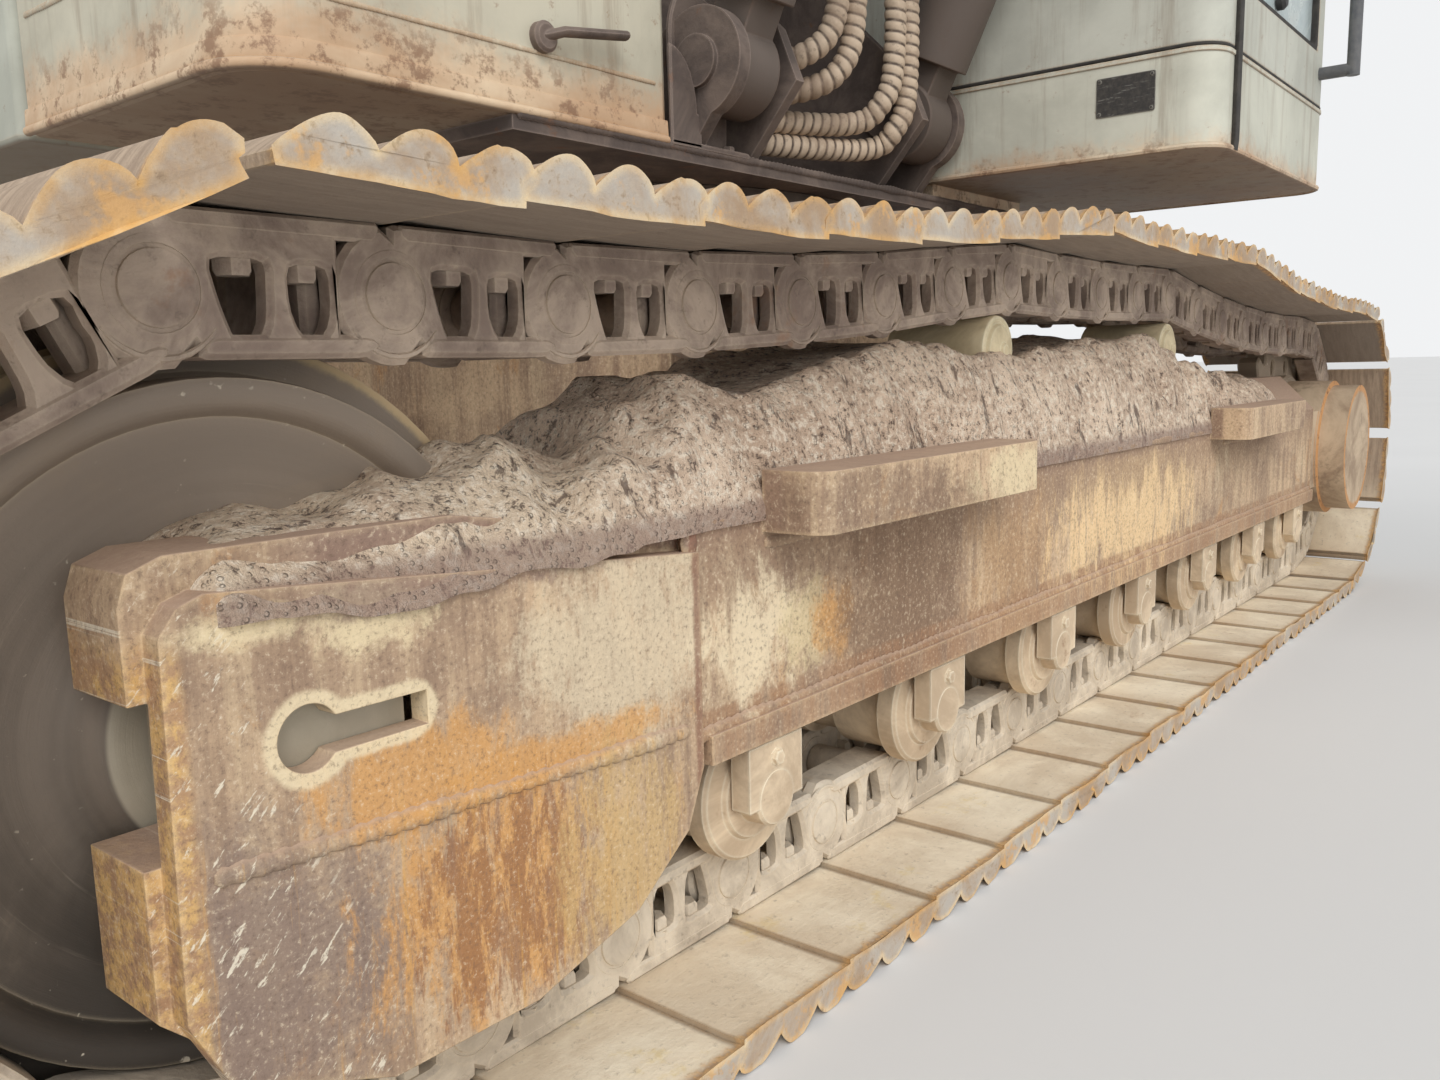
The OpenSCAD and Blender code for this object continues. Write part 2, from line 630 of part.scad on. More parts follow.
module cab_shell() {
    room_h = cab_top - roof_t - cab_seam - cab_wall;
    side_rear = -cab_rear + post + 150;
    color(paint) difference() {
        translate([0, 0, cab_seam]) linear_extrude(height = cab_top - cab_seam) cab_plan(0);
        translate([0, 0, cab_seam + cab_wall]) linear_extrude(height = room_h) cab_plan(cab_wall);
        // Inner side window, rear window, front window and roof hatch
        block([cab_inner - 10, side_rear, win_z0], [cab_inner + cab_wall + 10, cab_front - 150, win_z1]);
        block([cab_inner + 160, -cab_rear - 10, 1950],
              [house_half_w - 160, -cab_rear + cab_wall + 10, win_z1]);
        block([cab_inner + 130, cab_front - cab_wall - 10, front_sill],
              [house_half_w - 130, cab_front + 10, win_z1]);
        block([cab_inner + 250, 300, cab_top - roof_t - 10], [house_half_w - 250, 900, cab_top + 10]);
        // Outer side: door opening and the rear quarter window stays closed sheet
        block([house_half_w - cab_wall - 10, door_u0, cab_seam + 40],
              [house_half_w + 10, door_u1, win_z1 + 20]);
    }
}
module cab_glass() {
    color(glass) {
        block([cab_inner + 18, -cab_rear + post + 150, win_z0],
              [cab_inner + 18 + pane, cab_front - 150, win_z1]);
        block([cab_inner + 160, -cab_rear + 18, 1950], [house_half_w - 160, -cab_rear + 18 + pane, win_z1]);
        block([cab_inner + 130, cab_front - 18 - pane, front_sill],
              [house_half_w - 130, cab_front - 18, win_z1]);
        block([cab_inner + 250, 300, cab_top - 30], [house_half_w - 250, 900, cab_top - 30 + pane]);
    }
}
door_x = house_half_w + rest;
module cab_door() {
    color(paint) difference() {
        block([door_x, door_u0 - 30, cab_seam + 20], [door_x + 36, door_u1 + 30, win_z1 + 40]);
        block([door_x - 10, door_u0 + 70, win_z0 + 40], [door_x + 50, door_u1 - 60, win_z1 - 30]);
    }
    color(steel_dark) {
        for (z = [1620, 2300, 2850])
            translate([door_x + 36, -door_u0 + 30, z]) cylinder(r = knuckle_r, h = 90, center = true);
        translate([door_x + 50, -(door_u1 - 25), 1700]) cube([34, 30, 120], center = true);
    }
}
module cab_door_glass() {
    color(glass)
        block([door_x + 14, door_u0 + 70, win_z0 + 40], [door_x + 14 + pane, door_u1 - 60, win_z1 - 30]);
}
seat_x = (cab_inner + house_half_w) / 2;
module operator_seat() {
    color("#3a3a3c") {
        translate([seat_x, -420, cab_seam + cab_wall]) cylinder(r = 170, h = 300);
        translate([seat_x - 250, -680, cab_seam + cab_wall + 300]) cube([500, 500, 120]);
        translate([seat_x - 240, -220, cab_seam + cab_wall + 420]) rotate([-12, 0, 0])
            translate([0, -60, 0]) cube([480, 110, 620]);
        for (s = [-1, 1]) {
            translate([seat_x + s * 330 - 60, -760, cab_seam + cab_wall]) cube([120, 480, 520]);
            translate([seat_x + s * 330, -700, cab_seam + cab_wall + 520]) cylinder(r = 16, h = 150);
        }
    }
}
rail_r = 17;
grab_x = house_half_w - cab_r - 20;
module handrails() {
    color(steel_dark) {
        // Grab rail at the outer front corner of the cab
        for (z = [1545, 2080])
            translate([grab_x, -cab_front, z]) rotate([90, 0, 0]) cylinder(r = rail_r, h = 85);
        translate([grab_x, -cab_front - 85, 1545 - rail_r]) cylinder(r = rail_r, h = 535 + 2 * rail_r);
        // Rail over the deck box and tank
        for (u = [-1250, -700]) translate([-house_half_w + 60, -u, tank_z + 40]) cylinder(r = rail_r, h = 290);
        translate([-house_half_w + 60, 60, tank_z]) cylinder(r = rail_r, h = 330);
        translate([-house_half_w + 60, 1250, tank_z + 330]) rotate([90, 0, 0])
            cylinder(r = rail_r, h = 1190);
    }
}

// Boom foot hoses: four tubes from the well between the brackets up to the boom's underside
hose_r = 26;
hose_sides = 10;
hose_rise_x = [boom_x - 75, boom_x - 15, boom_x + plate_in - 92, boom_x + plate_in - 32];
hose_pitch = 60;
hose_low = 1222;
hose_end_z = 2170;
hose_forward = 850;
// Route of one hose, columns x, forward, up: out of the bracket plate, round the bend, up to the boom
function hose_route(h) =
    let (x = hose_rise_x[h], z = hose_low + hose_pitch * (3 - h), x0 = boom_x - plate_in)
    [[x0, 680, z], [x0 + 35, 680, z], [x0 + 70, 680, z], [x - 70, 800, z + 8], [x - 20, 860, z + 55],
     [x, 880, z + 150], [x, 880, 1700], [x, hose_forward, 1980], [x, hose_forward, 2120],
     [x, hose_forward, hose_end_z]];
function ring(p, d, r) =
    let (w = unit(d), side = unit(cross(w, [0, 1, 0])), up = cross(side, w))
    [for (i = [0:hose_sides - 1]) let (a = i * 360 / hose_sides) p + (side * cos(a) + up * sin(a)) * r];
module tube(path, r) {
    n = len(path);
    rings = [for (i = [0:n - 1]) let (d = path[min(n - 1, i + 1)] - path[max(0, i - 1)]) ring(path[i], d, r)];
    pts = [for (q = rings) for (p = q) p];
    walls = [for (i = [0:n - 2]) for (j = [0:hose_sides - 1]) let (k = (j + 1) % hose_sides)
        [i * hose_sides + j, (i + 1) * hose_sides + j, (i + 1) * hose_sides + k, i * hose_sides + k]];
    polyhedron(pts, concat([[for (j = [0:hose_sides - 1]) j]], walls,
        [[for (j = [hose_sides - 1:-1:0]) (n - 1) * hose_sides + j]]));
}
// Points between the chosen ones, on a smooth cubic
function smooth_path(p, steps) = [for (i = [0:len(p) - 2]) for (t = [0:steps - 1])
    let (a = p[max(0, i - 1)], b = p[i], c = p[i + 1], d = p[min(len(p) - 1, i + 2)], s = t / steps)
    0.5 * (2 * b + (c - a) * s + (2 * a - 5 * b + 4 * c - d) * s * s + (3 * b - a - 3 * c + d) * s * s * s)];
function to_world(p) = [p[0], -p[1], p[2]];
module boom_hoses() {
    color("#b9ab92") for (h = [0:3]) let (route = hose_route(h))
        tube([for (p = concat(smooth_path(route, 3), [route[len(route) - 1]])) to_world(p)], hose_r);
}

// Boom: bent box with a fork nose, cylinder bosses, bracket for the arm cylinder
boom_bend = [boom_len * 0.427, 1000];
boom_foot_h = 190;
boom_bend_h = 420;
boom_tip_h = 185;
slot_w = arm_w + 2 * gap;
module boom_outline() {
    a1 = atan2(boom_bend[1], boom_bend[0]);
    a2 = atan2(-boom_bend[1], boom_len - boom_bend[0]);
    n1 = [-sin(a1), cos(a1)];
    n2 = [-sin(a2), cos(a2)];
    tip = [boom_len, 0];
    polygon([n1 * (4 - boom_foot_h), n1 * (boom_foot_h - 4), boom_bend + n1 * boom_bend_h,
             boom_bend + (n1 + n2) * 0.53 * boom_bend_h, boom_bend + n2 * boom_bend_h,
             tip + n2 * (boom_tip_h - 4), tip - n2 * (boom_tip_h - 4),
             boom_bend - n2 * boom_bend_h + [330, 0], boom_bend - n1 * boom_bend_h - [300, 0]]);
    circle(r = boom_foot_h);
    translate(tip) circle(r = boom_tip_h);
}
module in_boom(t, x = boom_x) {
    fore(t, x) translate(boom_foot) rotate(boom_angle) children();
}
arm_nose_r = 560;
module boom() {
    color(paint) {
        difference() {
            in_boom(boom_w) boom_outline();
            in_boom(slot_w) translate([boom_len, 0]) circle(r = arm_nose_r);
            pin_x(boom_pin_r + fit, boom_w + 20, boom_foot);
        }
        // Bulkhead under the boom where the hoses end
        block([boom_x - 120, hose_forward - 60, hose_end_z],
              [boom_x + plate_in - gap, hose_forward + 60, hose_end_z + 150]);
        for (s = [-1, 1]) in_boom(34, boom_x + s * 110) difference() {
            union() {
                translate(arm_base_in_boom) circle(r = 110);
                polygon([arm_base_in_boom + [-330, -260], arm_base_in_boom + [-75, 80],
                         arm_base_in_boom + [75, 80], arm_base_in_boom + [330, -320]]);
            }
            translate(arm_base_in_boom) circle(r = 42);
        }
    }
    color(steel_dark) {
        for (s = [-1, 1]) pin_x(95, lift_side - lift_eye_w / 2 - gap - boom_w / 2 + 10, lift_pin,
                                boom_x + s * (lift_side - lift_eye_w / 2 - gap + boom_w / 2 - 10) / 2);
        pin_x(boom_pin_r, boom_w + 10, boom_tip);
        pin_x(42, 270, arm_base);
        for (s = [-1, 1]) pin_x(75, 20, boom_tip, boom_x + s * (boom_w / 2 + 10));
    }
}

// Arm: tapered box with heel plates, bracket for the bucket cylinder, bearings at both ends
arm_end_w = arm_w - 70;
arm_narrow = 600;
module arm_outline() {
    end = [arm_len, 0];
    polygon([[-150, -150], [60, -205], [420, -230], [arm_len - 120, -125], [arm_len, -128], [arm_len + 60, 0],
             [arm_len - 40, 125], [arm_len - 500, 165], [600, 455], [140, 520], arm_heel_in_arm + [60, 110],
             arm_heel_in_arm + [-110, -20], arm_heel_in_arm + [-40, -100]]);
    circle(r = 200);
    translate(end) circle(r = 128);
    translate(arm_heel_in_arm) circle(r = 112);
}
module in_arm(t, x = boom_x) {
    fore(t, x) translate(boom_tip) rotate(arm_angle) children();
}
heel_slot = 190;
module arm() {
    color(paint) {
        difference() {
            in_arm(arm_w) arm_outline();
            in_arm(heel_slot) translate(arm_heel_in_arm) circle(r = 370);
            for (s = [-1, 1]) in_arm(60, boom_x + s * (arm_end_w / 2 + 30))
                translate([arm_len - arm_narrow, -400]) square([arm_narrow + 300, 800]);
            pin_x(boom_pin_r + fit, arm_w + 20, boom_tip);
            pin_x(bucket_pin_r + fit, arm_w + 20, bucket_pin);
        }
        for (s = [-1, 1]) in_arm(30, boom_x + s * 100) difference() {
            union() {
                translate(bucket_base_in_arm) circle(r = 95);
                polygon([bucket_base_in_arm + [-300, -270], bucket_base_in_arm + [-60, 75],
                         bucket_base_in_arm + [60, 75], bucket_base_in_arm + [330, -330]]);
            }
            translate(bucket_base_in_arm) circle(r = 38);
        }
    }
    color(steel_dark) {
        pin_x(38, 240, bucket_base);
        pin_x(rocker_pin_r, 2 * (rocker_plate_x + rocker_plate_t + 10), rocker_pin);
        pin_x(rocker_pin_r + 24, 2 * (rocker_plate_x - gap), rocker_pin);
    }
}

// Bucket: curved back, side plates, torque tube, ears, lip and teeth
module in_bucket(t, x = boom_x) {
    fore(t, x) translate(bucket_pin) rotate(bucket_angle) children();
}
back_c = [640, 260];
back_r = 640;
lip_at = [1330, -70];
wall_t = 28;
top_at = 165;
function arc_points(c, r, a0, a1, n) =
    [for (i = [0:n]) let (a = a0 + (a1 - a0) * i / n) c + r * [cos(a), sin(a)]];
function bucket_side(inset) = concat(
    [[top_at + inset, inset > 0 ? -400 : 0], [top_at + inset, 610 - inset]],
    arc_points(back_c, back_r - inset, 104, -14, 12),
    [lip_at - [inset * 0.4, 0], lip_at - [30, 40]]);
ear_in = arm_end_w / 2 + 20;
ear_t = 40;
teeth = 5;
module bucket() {
    color("#77695a") {
        difference() {
            in_bucket(bucket_w) polygon(bucket_side(0));
            in_bucket(bucket_w - 2 * wall_t) polygon(concat(
                [[top_at + wall_t, -400], [top_at + wall_t, 610 - wall_t]],
                arc_points(back_c, back_r - wall_t, 104, -14, 12),
                [lip_at - [20, -12], lip_at + [60, -400]]));
        }
        for (s = [-1, 1]) in_bucket(ear_t, boom_x + s * (ear_in + ear_t / 2)) difference() {
            union() {
                circle(r = 125);
                translate(link_pin_in_bucket) circle(r = 110);
                polygon([[0, -120], [90, -90], [top_at + 15, 20], [top_at + 15, 640], [70, 640],
                         link_pin_in_bucket + [-60, 85], link_pin_in_bucket + [-108, 0], [-120, 0]]);
            }
            circle(r = bucket_pin_r);
        }
        pin_x(bucket_pin_r, 2 * (ear_in + ear_t + 12), bucket_pin);
        for (i = [0:teeth - 1]) let (x = boom_x - bucket_w / 2 + 75 + i * (bucket_w - 150) / (teeth - 1))
            in_bucket(90, x) polygon([lip_at + [-90, -20], lip_at + [-60, 55], lip_at + [40, 45],
                                      lip_at + [215, -20], lip_at + [215, -34], lip_at + [30, -55]]);
    }
}
rocker_plate_x = ear_in + ear_t + gap + 1;
rocker_plate_t = 34;
module bucket_rocker() {
    color(steel_dark) for (s = [-1, 1])
        fore(rocker_plate_t, boom_x + s * (rocker_plate_x + rocker_plate_t / 2)) difference() {
            union() {
                bar(rocker_pin, rocker_end, 150);
                translate(rocker_pin) circle(r = 85);
                translate(rocker_end) circle(r = 85);
            }
            translate(rocker_pin) circle(r = rocker_pin_r + fit);
        }
    color(steel_dark) for (s = [-1, 1])
        pin_x(eye_pin_r, rocker_plate_x + rocker_plate_t + 12 - link_fork / 2, rocker_end,
              boom_x + s * (rocker_plate_x + rocker_plate_t + 12 + link_fork / 2) / 2);
}
link_w = 2 * ear_in - 30;
link_fork = 190;
module bucket_link() {
    color(steel_dark) {
        difference() {
            fore(link_w) difference() {
                union() {
                    bar(rocker_end, link_pin, 130);
                    translate(rocker_end) circle(r = 80);
                    translate(link_pin) circle(r = 85);
                }
            }
            fore(link_fork - 4) translate(rocker_end) circle(r = 260);
            pin_x(eye_pin_r + fit, link_w + 10, rocker_end);
        }
    }
}

// Cylinders: eye and neck at the base, tube with a gland, rod out to its own eye
tube_start = 150;
gland_h = 60;
tube_wall = 22;
neck_w = 96;
module along(base, eye, x) {
    translate([x, -base[0], base[1]]) rotate([90 - heading(base, eye), 0, 0]) children();
}
module cylinder_tube(base, eye, r, rod_r, eye_r, eye_w, pin_r, length, x) {
    difference() {
        union() {
            pin_x(eye_r, eye_w, base, x);
            along(base, eye, x) translate([-neck_w / 2, -neck_w / 2, eye_r * 0.4])
                cube([neck_w, neck_w, tube_start + 8 - eye_r * 0.4]);
            along(base, eye, x) translate([0, 0, tube_start]) cylinder(r = r, h = length - tube_start);
        }
        along(base, eye, x) translate([0, 0, tube_start + 30])
            cylinder(r = r - tube_wall, h = length - tube_start - 30 - gland_h);
        along(base, eye, x) translate([0, 0, length - gland_h - 1])
            cylinder(r = rod_r + seat, h = gland_h + 2);
        pin_x(pin_r + fit, eye_w + 10, base, x);
    }
}
module cylinder_rod(base, eye, r, eye_r, eye_w, start, x) {
    along(base, eye, x) translate([0, 0, start]) cylinder(r = r, h = norm(eye - base) - start - eye_r + 12);
    difference() {
        pin_x(eye_r, eye_w, eye, x);
        pin_x(eye_pin_r + 8, eye_w + 10, eye, x);
    }
    pin_x(eye_pin_r + 8, eye_w + 8, eye, x);
}
boom_rod_r = 48;
arm_rod_r = 52;
bucket_rod_r = 45;
// Length of each tube from its base pin, and where its piston end stands as parked
boom_tube_len = 1650;
boom_rod_start = 1130;
arm_tube_len = 2350;
arm_rod_start = 1750;
bucket_tube_len = 1450;
bucket_rod_start = 500;
module boom_cylinder_barrels() {
    color(steel_dark) for (s = [-1, 1])
        cylinder_tube(lift_foot, lift_pin, boom_tube_r, boom_rod_r, 92, lift_eye_w, boom_pin_r, boom_tube_len,
                      boom_x + s * lift_side);
}
module boom_cylinder_rods() {
    color("#b8bcc0") for (s = [-1, 1])
        cylinder_rod(lift_foot, lift_pin, boom_rod_r, 88, lift_eye_w - 8, boom_rod_start,
                     boom_x + s * lift_side);
}
module arm_cylinder_barrel() {
    color(steel_dark)
        cylinder_tube(arm_base, arm_heel, arm_tube_r, arm_rod_r, 92, 170, 42, arm_tube_len, boom_x);
}
module arm_cylinder_rod() {
    color("#b8bcc0") cylinder_rod(arm_base, arm_heel, arm_rod_r, 95, 160, arm_rod_start, boom_x);
}
module bucket_cylinder_barrel() {
    color(steel_dark)
        cylinder_tube(bucket_base, rocker_end, bucket_tube_r, bucket_rod_r, 82, 150, 38,
                      bucket_tube_len, boom_x);
}
module bucket_cylinder_rod() {
    color("#b8bcc0") cylinder_rod(bucket_base, rocker_end, bucket_rod_r, 80, 150, bucket_rod_start, boom_x);
}

car_body();
slew_ring();
track_frame(-1);  // track_frame_left
track_frame(1);  // track_frame_right
track(-1);  // track_left
track(1);  // track_right
idler(-1);  // idler_left
idler(1);  // idler_right
sprocket(-1);  // sprocket_left
sprocket(1);  // sprocket_right
final_drive(-1);  // final_drive_left
final_drive(1);  // final_drive_right
rollers(-1);  // rollers_left
rollers(1);  // rollers_right
revolving_frame();
deck_box();
deck_box_lid();
tanks();
side_box(1, box_rear, side_front_left);  // side_box_left
side_box(-1, box_rear, side_front_right);  // side_box_right
side_door(1, box_rear, side_front_left);  // side_door_left
side_door(-1, box_rear, side_front_right);  // side_door_right
engine_block();
engine_hood();
exhaust_stack();
counterweight();
cab_base();
cab_shell();
cab_glass();
cab_door();
cab_door_glass();
operator_seat();
handrails();
boom_hoses();
boom();
arm();
bucket();
bucket_rocker();
bucket_link();
boom_cylinder_barrels();
boom_cylinder_rods();
arm_cylinder_barrel();
arm_cylinder_rod();
bucket_cylinder_barrel();
bucket_cylinder_rod();
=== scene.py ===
import json
import math
import bpy
import bmesh
import numpy as np
from mathutils import Matrix, Vector
from mathutils.geometry import tessellate_polygon


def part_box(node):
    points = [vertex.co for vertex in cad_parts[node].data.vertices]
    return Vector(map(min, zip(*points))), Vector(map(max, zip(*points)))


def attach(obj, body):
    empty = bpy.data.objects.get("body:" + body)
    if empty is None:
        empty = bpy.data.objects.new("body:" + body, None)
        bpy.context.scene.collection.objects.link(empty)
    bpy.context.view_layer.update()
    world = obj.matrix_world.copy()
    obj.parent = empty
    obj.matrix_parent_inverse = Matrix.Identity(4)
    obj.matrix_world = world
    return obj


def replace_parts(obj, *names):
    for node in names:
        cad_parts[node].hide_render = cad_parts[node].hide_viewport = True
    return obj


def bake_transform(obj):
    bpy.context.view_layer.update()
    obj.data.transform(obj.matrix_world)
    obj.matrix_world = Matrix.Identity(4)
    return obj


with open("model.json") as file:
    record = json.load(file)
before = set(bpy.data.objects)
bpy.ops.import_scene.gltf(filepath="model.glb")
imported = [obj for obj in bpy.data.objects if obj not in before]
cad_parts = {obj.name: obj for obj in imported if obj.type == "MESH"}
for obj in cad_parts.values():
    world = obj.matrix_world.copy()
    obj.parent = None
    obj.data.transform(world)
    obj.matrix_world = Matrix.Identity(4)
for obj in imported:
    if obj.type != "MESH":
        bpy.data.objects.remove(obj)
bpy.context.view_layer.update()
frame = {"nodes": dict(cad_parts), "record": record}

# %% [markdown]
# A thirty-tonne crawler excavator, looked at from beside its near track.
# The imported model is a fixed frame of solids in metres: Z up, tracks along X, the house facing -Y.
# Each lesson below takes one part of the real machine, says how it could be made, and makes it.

# %% [markdown]
# The camera stands low beside the near track, a little forward of the idler, and looks along it.
# Its place and turn were worked out from straight edges of known length, so it is set once from
# three angles. Building the turn from a forward line and a roll keeps the horizon's small lean.

# %% Camera
camera_data = bpy.data.cameras.new("camera")
camera = bpy.data.objects.new("camera", camera_data)
bpy.context.scene.collection.objects.link(camera)
bpy.context.scene.camera = camera
yaw, pitch, roll = (math.radians(a) for a in (50.929, -8.501, -1.323))
forward = Vector((math.sin(yaw) * math.cos(pitch), math.cos(yaw) * math.cos(pitch), math.sin(pitch)))
flat_right = Vector((math.cos(yaw), -math.sin(yaw), 0))
flat_up = flat_right.cross(forward)
right = flat_right * math.cos(roll) + flat_up * math.sin(roll)
up = flat_up * math.cos(roll) - flat_right * math.sin(roll)
turn = Matrix((right, up, -forward)).transposed()
CAMERA_PLACE, SENSOR = (-2.3383, -2.3038, 0.7642), 36
FOCAL_PIXELS, PHOTO_WIDTH = 1146.27, 1440
camera.matrix_world = Matrix.Translation(CAMERA_PLACE) @ turn.to_4x4()
camera_data.sensor_width, camera_data.lens = SENSOR, SENSOR * FOCAL_PIXELS / PHOTO_WIDTH
camera_data.clip_start, camera_data.clip_end = 0.05, 200
print("lens", round(camera_data.lens, 2), "looking", [round(v, 3) for v in forward])

# %% [markdown]
# A shape is kept as arrays until it is finished: points, and faces that point at them.
# Grids, rings and prisms are worked out whole, so one formula moves every point at once.

# %% Forms: points and faces as arrays
def joined(forms):
    """One form from many: each one's face numbers move up by the points before it."""
    points, faces, start = [], [], 0
    for p, fs in forms:
        points.append(p)
        faces += [f + start for f in fs]
        start += len(p)
    return np.concatenate(points), faces

def grid_faces(n, m, wrap_n=False, wrap_m=False):
    """Quads between neighbours of an n by m grid of points, joined round where it wraps."""
    i = np.arange(n if wrap_n else n - 1)[:, None]
    j = np.arange(m if wrap_m else m - 1)[None, :]
    i2, j2 = (i + 1) % n, (j + 1) % m
    return np.stack([i * m + j, i2 * m + j, i2 * m + j2, i * m + j2], -1).reshape(-1, 4)

def tube(rings, caps=True):
    """A skin over closed rings, n rings of m points, each end closed by one flat face."""
    n, m = rings.shape[:2]
    faces = [grid_faces(n, m, wrap_m=True)]
    if caps:
        faces += [np.arange(m)[None, ::-1], (n - 1) * m + np.arange(m)[None]]
    return rings.reshape(-1, 3), faces

def placed(form, origin=(0, 0, 0), x=(1, 0, 0), y=(0, 1, 0), z=(0, 0, 1)):
    """A form moved so that its own axes lie along x, y and z and its zero on origin."""
    axes = np.array([x, y, z], float)
    return form[0] @ axes + np.array(origin, float), form[1]

def to_y(w):
    """Axes for placed(): a form's third axis along Y, or against it where w is -1."""
    return (1, 0, 0), (0, 0, 1), (0, w, 0)

def to_x(w):
    return (0, 1, 0), (0, 0, 1), (w, 0, 0)

def out_x(w):
    """As to_x, with the first axis turned round too, so that a side is the other's mirror."""
    return (0, w, 0), (0, 0, 1), (w, 0, 0)

def copies(form, origins, xs, ys, zs):
    """The same form at many places: points times each place's three axes, all in one product."""
    axes = np.stack([xs, ys, zs], 1)
    p = np.einsum("pk,nkc->npc", form[0], axes) + np.asarray(origins)[:, None, :]
    shift = np.arange(len(p)) * len(form[0])
    return p.reshape(-1, 3), [(f[None] + shift[:, None, None]).reshape(-1, f.shape[1]) for f in form[1]]

# %% [markdown]
# Most steel here is plate: an outline with a thickness and broken edges. Bars, bosses and caps
# are profiles turned about an axis, and pipes and weld beads are a section carried along a path.

# %% Plates, turned parts and swept parts
def inset(outline, d):
    """Outline with every corner moved d inwards along the mean of its two edge normals."""
    ahead = np.roll(outline, -1, 0) - outline
    ahead /= np.linalg.norm(ahead, axis=1)[:, None] + 1e-12
    behind = np.roll(ahead, 1, 0)
    n = np.stack([-ahead[:, 1] - behind[:, 1], ahead[:, 0] + behind[:, 0]], 1)
    length = np.linalg.norm(n, axis=1)
    return outline + n * (2 * d / np.maximum(length, 0.9) ** 2)[:, None]

def counter_clockwise(outline):
    """The outline, turned round if its shoelace area is negative."""
    outline = np.asarray(outline, float)
    x, y = outline[:, 0], outline[:, 1]
    area = (x * np.roll(y, -1) - y * np.roll(x, -1)).sum()
    return outline if area > 0 else outline[::-1]

def plate(outline, low, high, edge=0.004, holes=()):
    """A prism between low and high with its rims broken by edge, and holes cut right through."""
    loops = [counter_clockwise(outline)] + [counter_clockwise(h)[::-1] for h in holes]
    levels = [(edge, low), (0, low + edge), (0, high - edge), (edge, high)]
    rings = [[np.c_[inset(q, d), np.full(len(q), z)] for d, z in levels] for q in loops]
    forms = [(np.concatenate(r), [grid_faces(4, len(r[0]), wrap_m=True)]) for r in rings]
    starts = np.cumsum([0] + [4 * len(q) for q in loops])
    number = np.concatenate([starts[k] + np.arange(len(q)) for k, q in enumerate(loops)])
    caps = np.array(tessellate_polygon([[Vector(p) for p in r[0]] for r in rings]))
    top = number + np.concatenate([np.full(len(q), 3 * len(q)) for q in loops])
    points, faces = joined(forms)
    return points, faces + [number[caps], top[caps][:, ::-1]]

def around(count, phase=0.0):
    """Angles of count even steps round a full turn."""
    return (np.arange(count) + phase) / count * 2 * np.pi

def lathe(profile, count=40):
    """A profile of (radius, height) turned about the third axis; its two ends lie on the axis."""
    a, p = around(count), np.asarray(profile, float)
    inner = p[1:-1]
    rings = np.stack([inner[:, None, 0] * np.cos(a), inner[:, None, 0] * np.sin(a),
                      np.repeat(inner[:, None, 1], count, 1)], -1)
    points, faces = tube(rings, caps=False)
    n, last = len(points), (len(inner) - 1) * count
    j = np.arange(count)
    fans = [np.stack([np.full(count, n), (j + 1) % count, j], 1),
            np.stack([np.full(count, n + 1), last + j, last + (j + 1) % count], 1)]
    return np.vstack([points, [0, 0, p[0, 1]], [0, 0, p[-1, 1]]]), faces + fans

def along_path(path, section, up=(0, 0, 1), grow=None):
    """A section carried along a path: two axes square to the path at each point place it."""
    path = np.asarray(path, float)
    way = np.gradient(path, axis=0)
    way /= np.linalg.norm(way, axis=1)[:, None]
    side = np.cross(way, np.asarray(up, float))
    side /= np.linalg.norm(side, axis=1)[:, None]
    rise = np.cross(side, way)
    size = np.ones(len(path)) if grow is None else grow
    rings = (path[:, None] + side[:, None] * (section[:, 0] * size[:, None])[..., None]
             + rise[:, None] * (section[:, 1] * size[:, None])[..., None])
    return tube(rings)

def circle(r, count=12, centre=(0, 0), phase=0.0):
    """Cosine and sine of even angles, times r."""
    a = around(count, phase)
    return np.stack([centre[0] + r * np.cos(a), centre[1] + r * np.sin(a)], 1)

def rounded(corners, r, steps=4):
    """A polygon with each corner replaced by points on a curve that starts r before it."""
    c = np.asarray(corners, float)
    before, after = np.roll(c, 1, 0) - c, np.roll(c, -1, 0) - c
    before *= np.minimum(r / np.linalg.norm(before, axis=1), 0.49)[:, None]
    after *= np.minimum(r / np.linalg.norm(after, axis=1), 0.49)[:, None]
    t = np.linspace(0, 1, steps + 1)[None, :, None]
    return (c[:, None] + before[:, None] * (1 - t) ** 2 + after[:, None] * t ** 2).reshape(-1, 2)

def slab(a, b, r, steps=4):
    """A rectangle 2a by 2b about zero with its corners rounded by r."""
    return rounded([(-a, -b), (a, -b), (a, b), (-a, b)], r, steps)

def box(low, high, edge=0.004, r=0.0):
    """A box between two corners with broken edges, and upright corners rounded by r."""
    (x0, y0, z0), (x1, y1, z1) = low, high
    q = np.array([(x0, y0), (x1, y0), (x1, y1), (x0, y1)], float)
    return plate(rounded(q, r) if r else q, z0, z1, edge)

def bolt_head(r=0.014, h=0.011):
    """A hexagon prism on a washer, its crown drawn in by a tenth."""
    hexagon = lambda k, z: np.c_[circle(r * k, 6), np.full(6, z)]
    washer = lambda k, z: np.c_[circle(r * k, 6, phase=0.5), np.full(6, z)]
    return joined([tube(np.stack([hexagon(1, 0), hexagon(1, h * 0.8), hexagon(0.85, h)])),
                   tube(np.stack([washer(1.25, 0), washer(1.25, h * 0.2)]))])

# %% [markdown]
# A finished form becomes a mesh object at the origin that rides on one body of the frame.
# Its faces are turned outwards, and numbers kept per point can colour grooves or wraps later.

# %% From form to piece
body_of_node = {n: b for b, ns in frame["record"]["behaviour"]["bodies"].items() for n in ns}

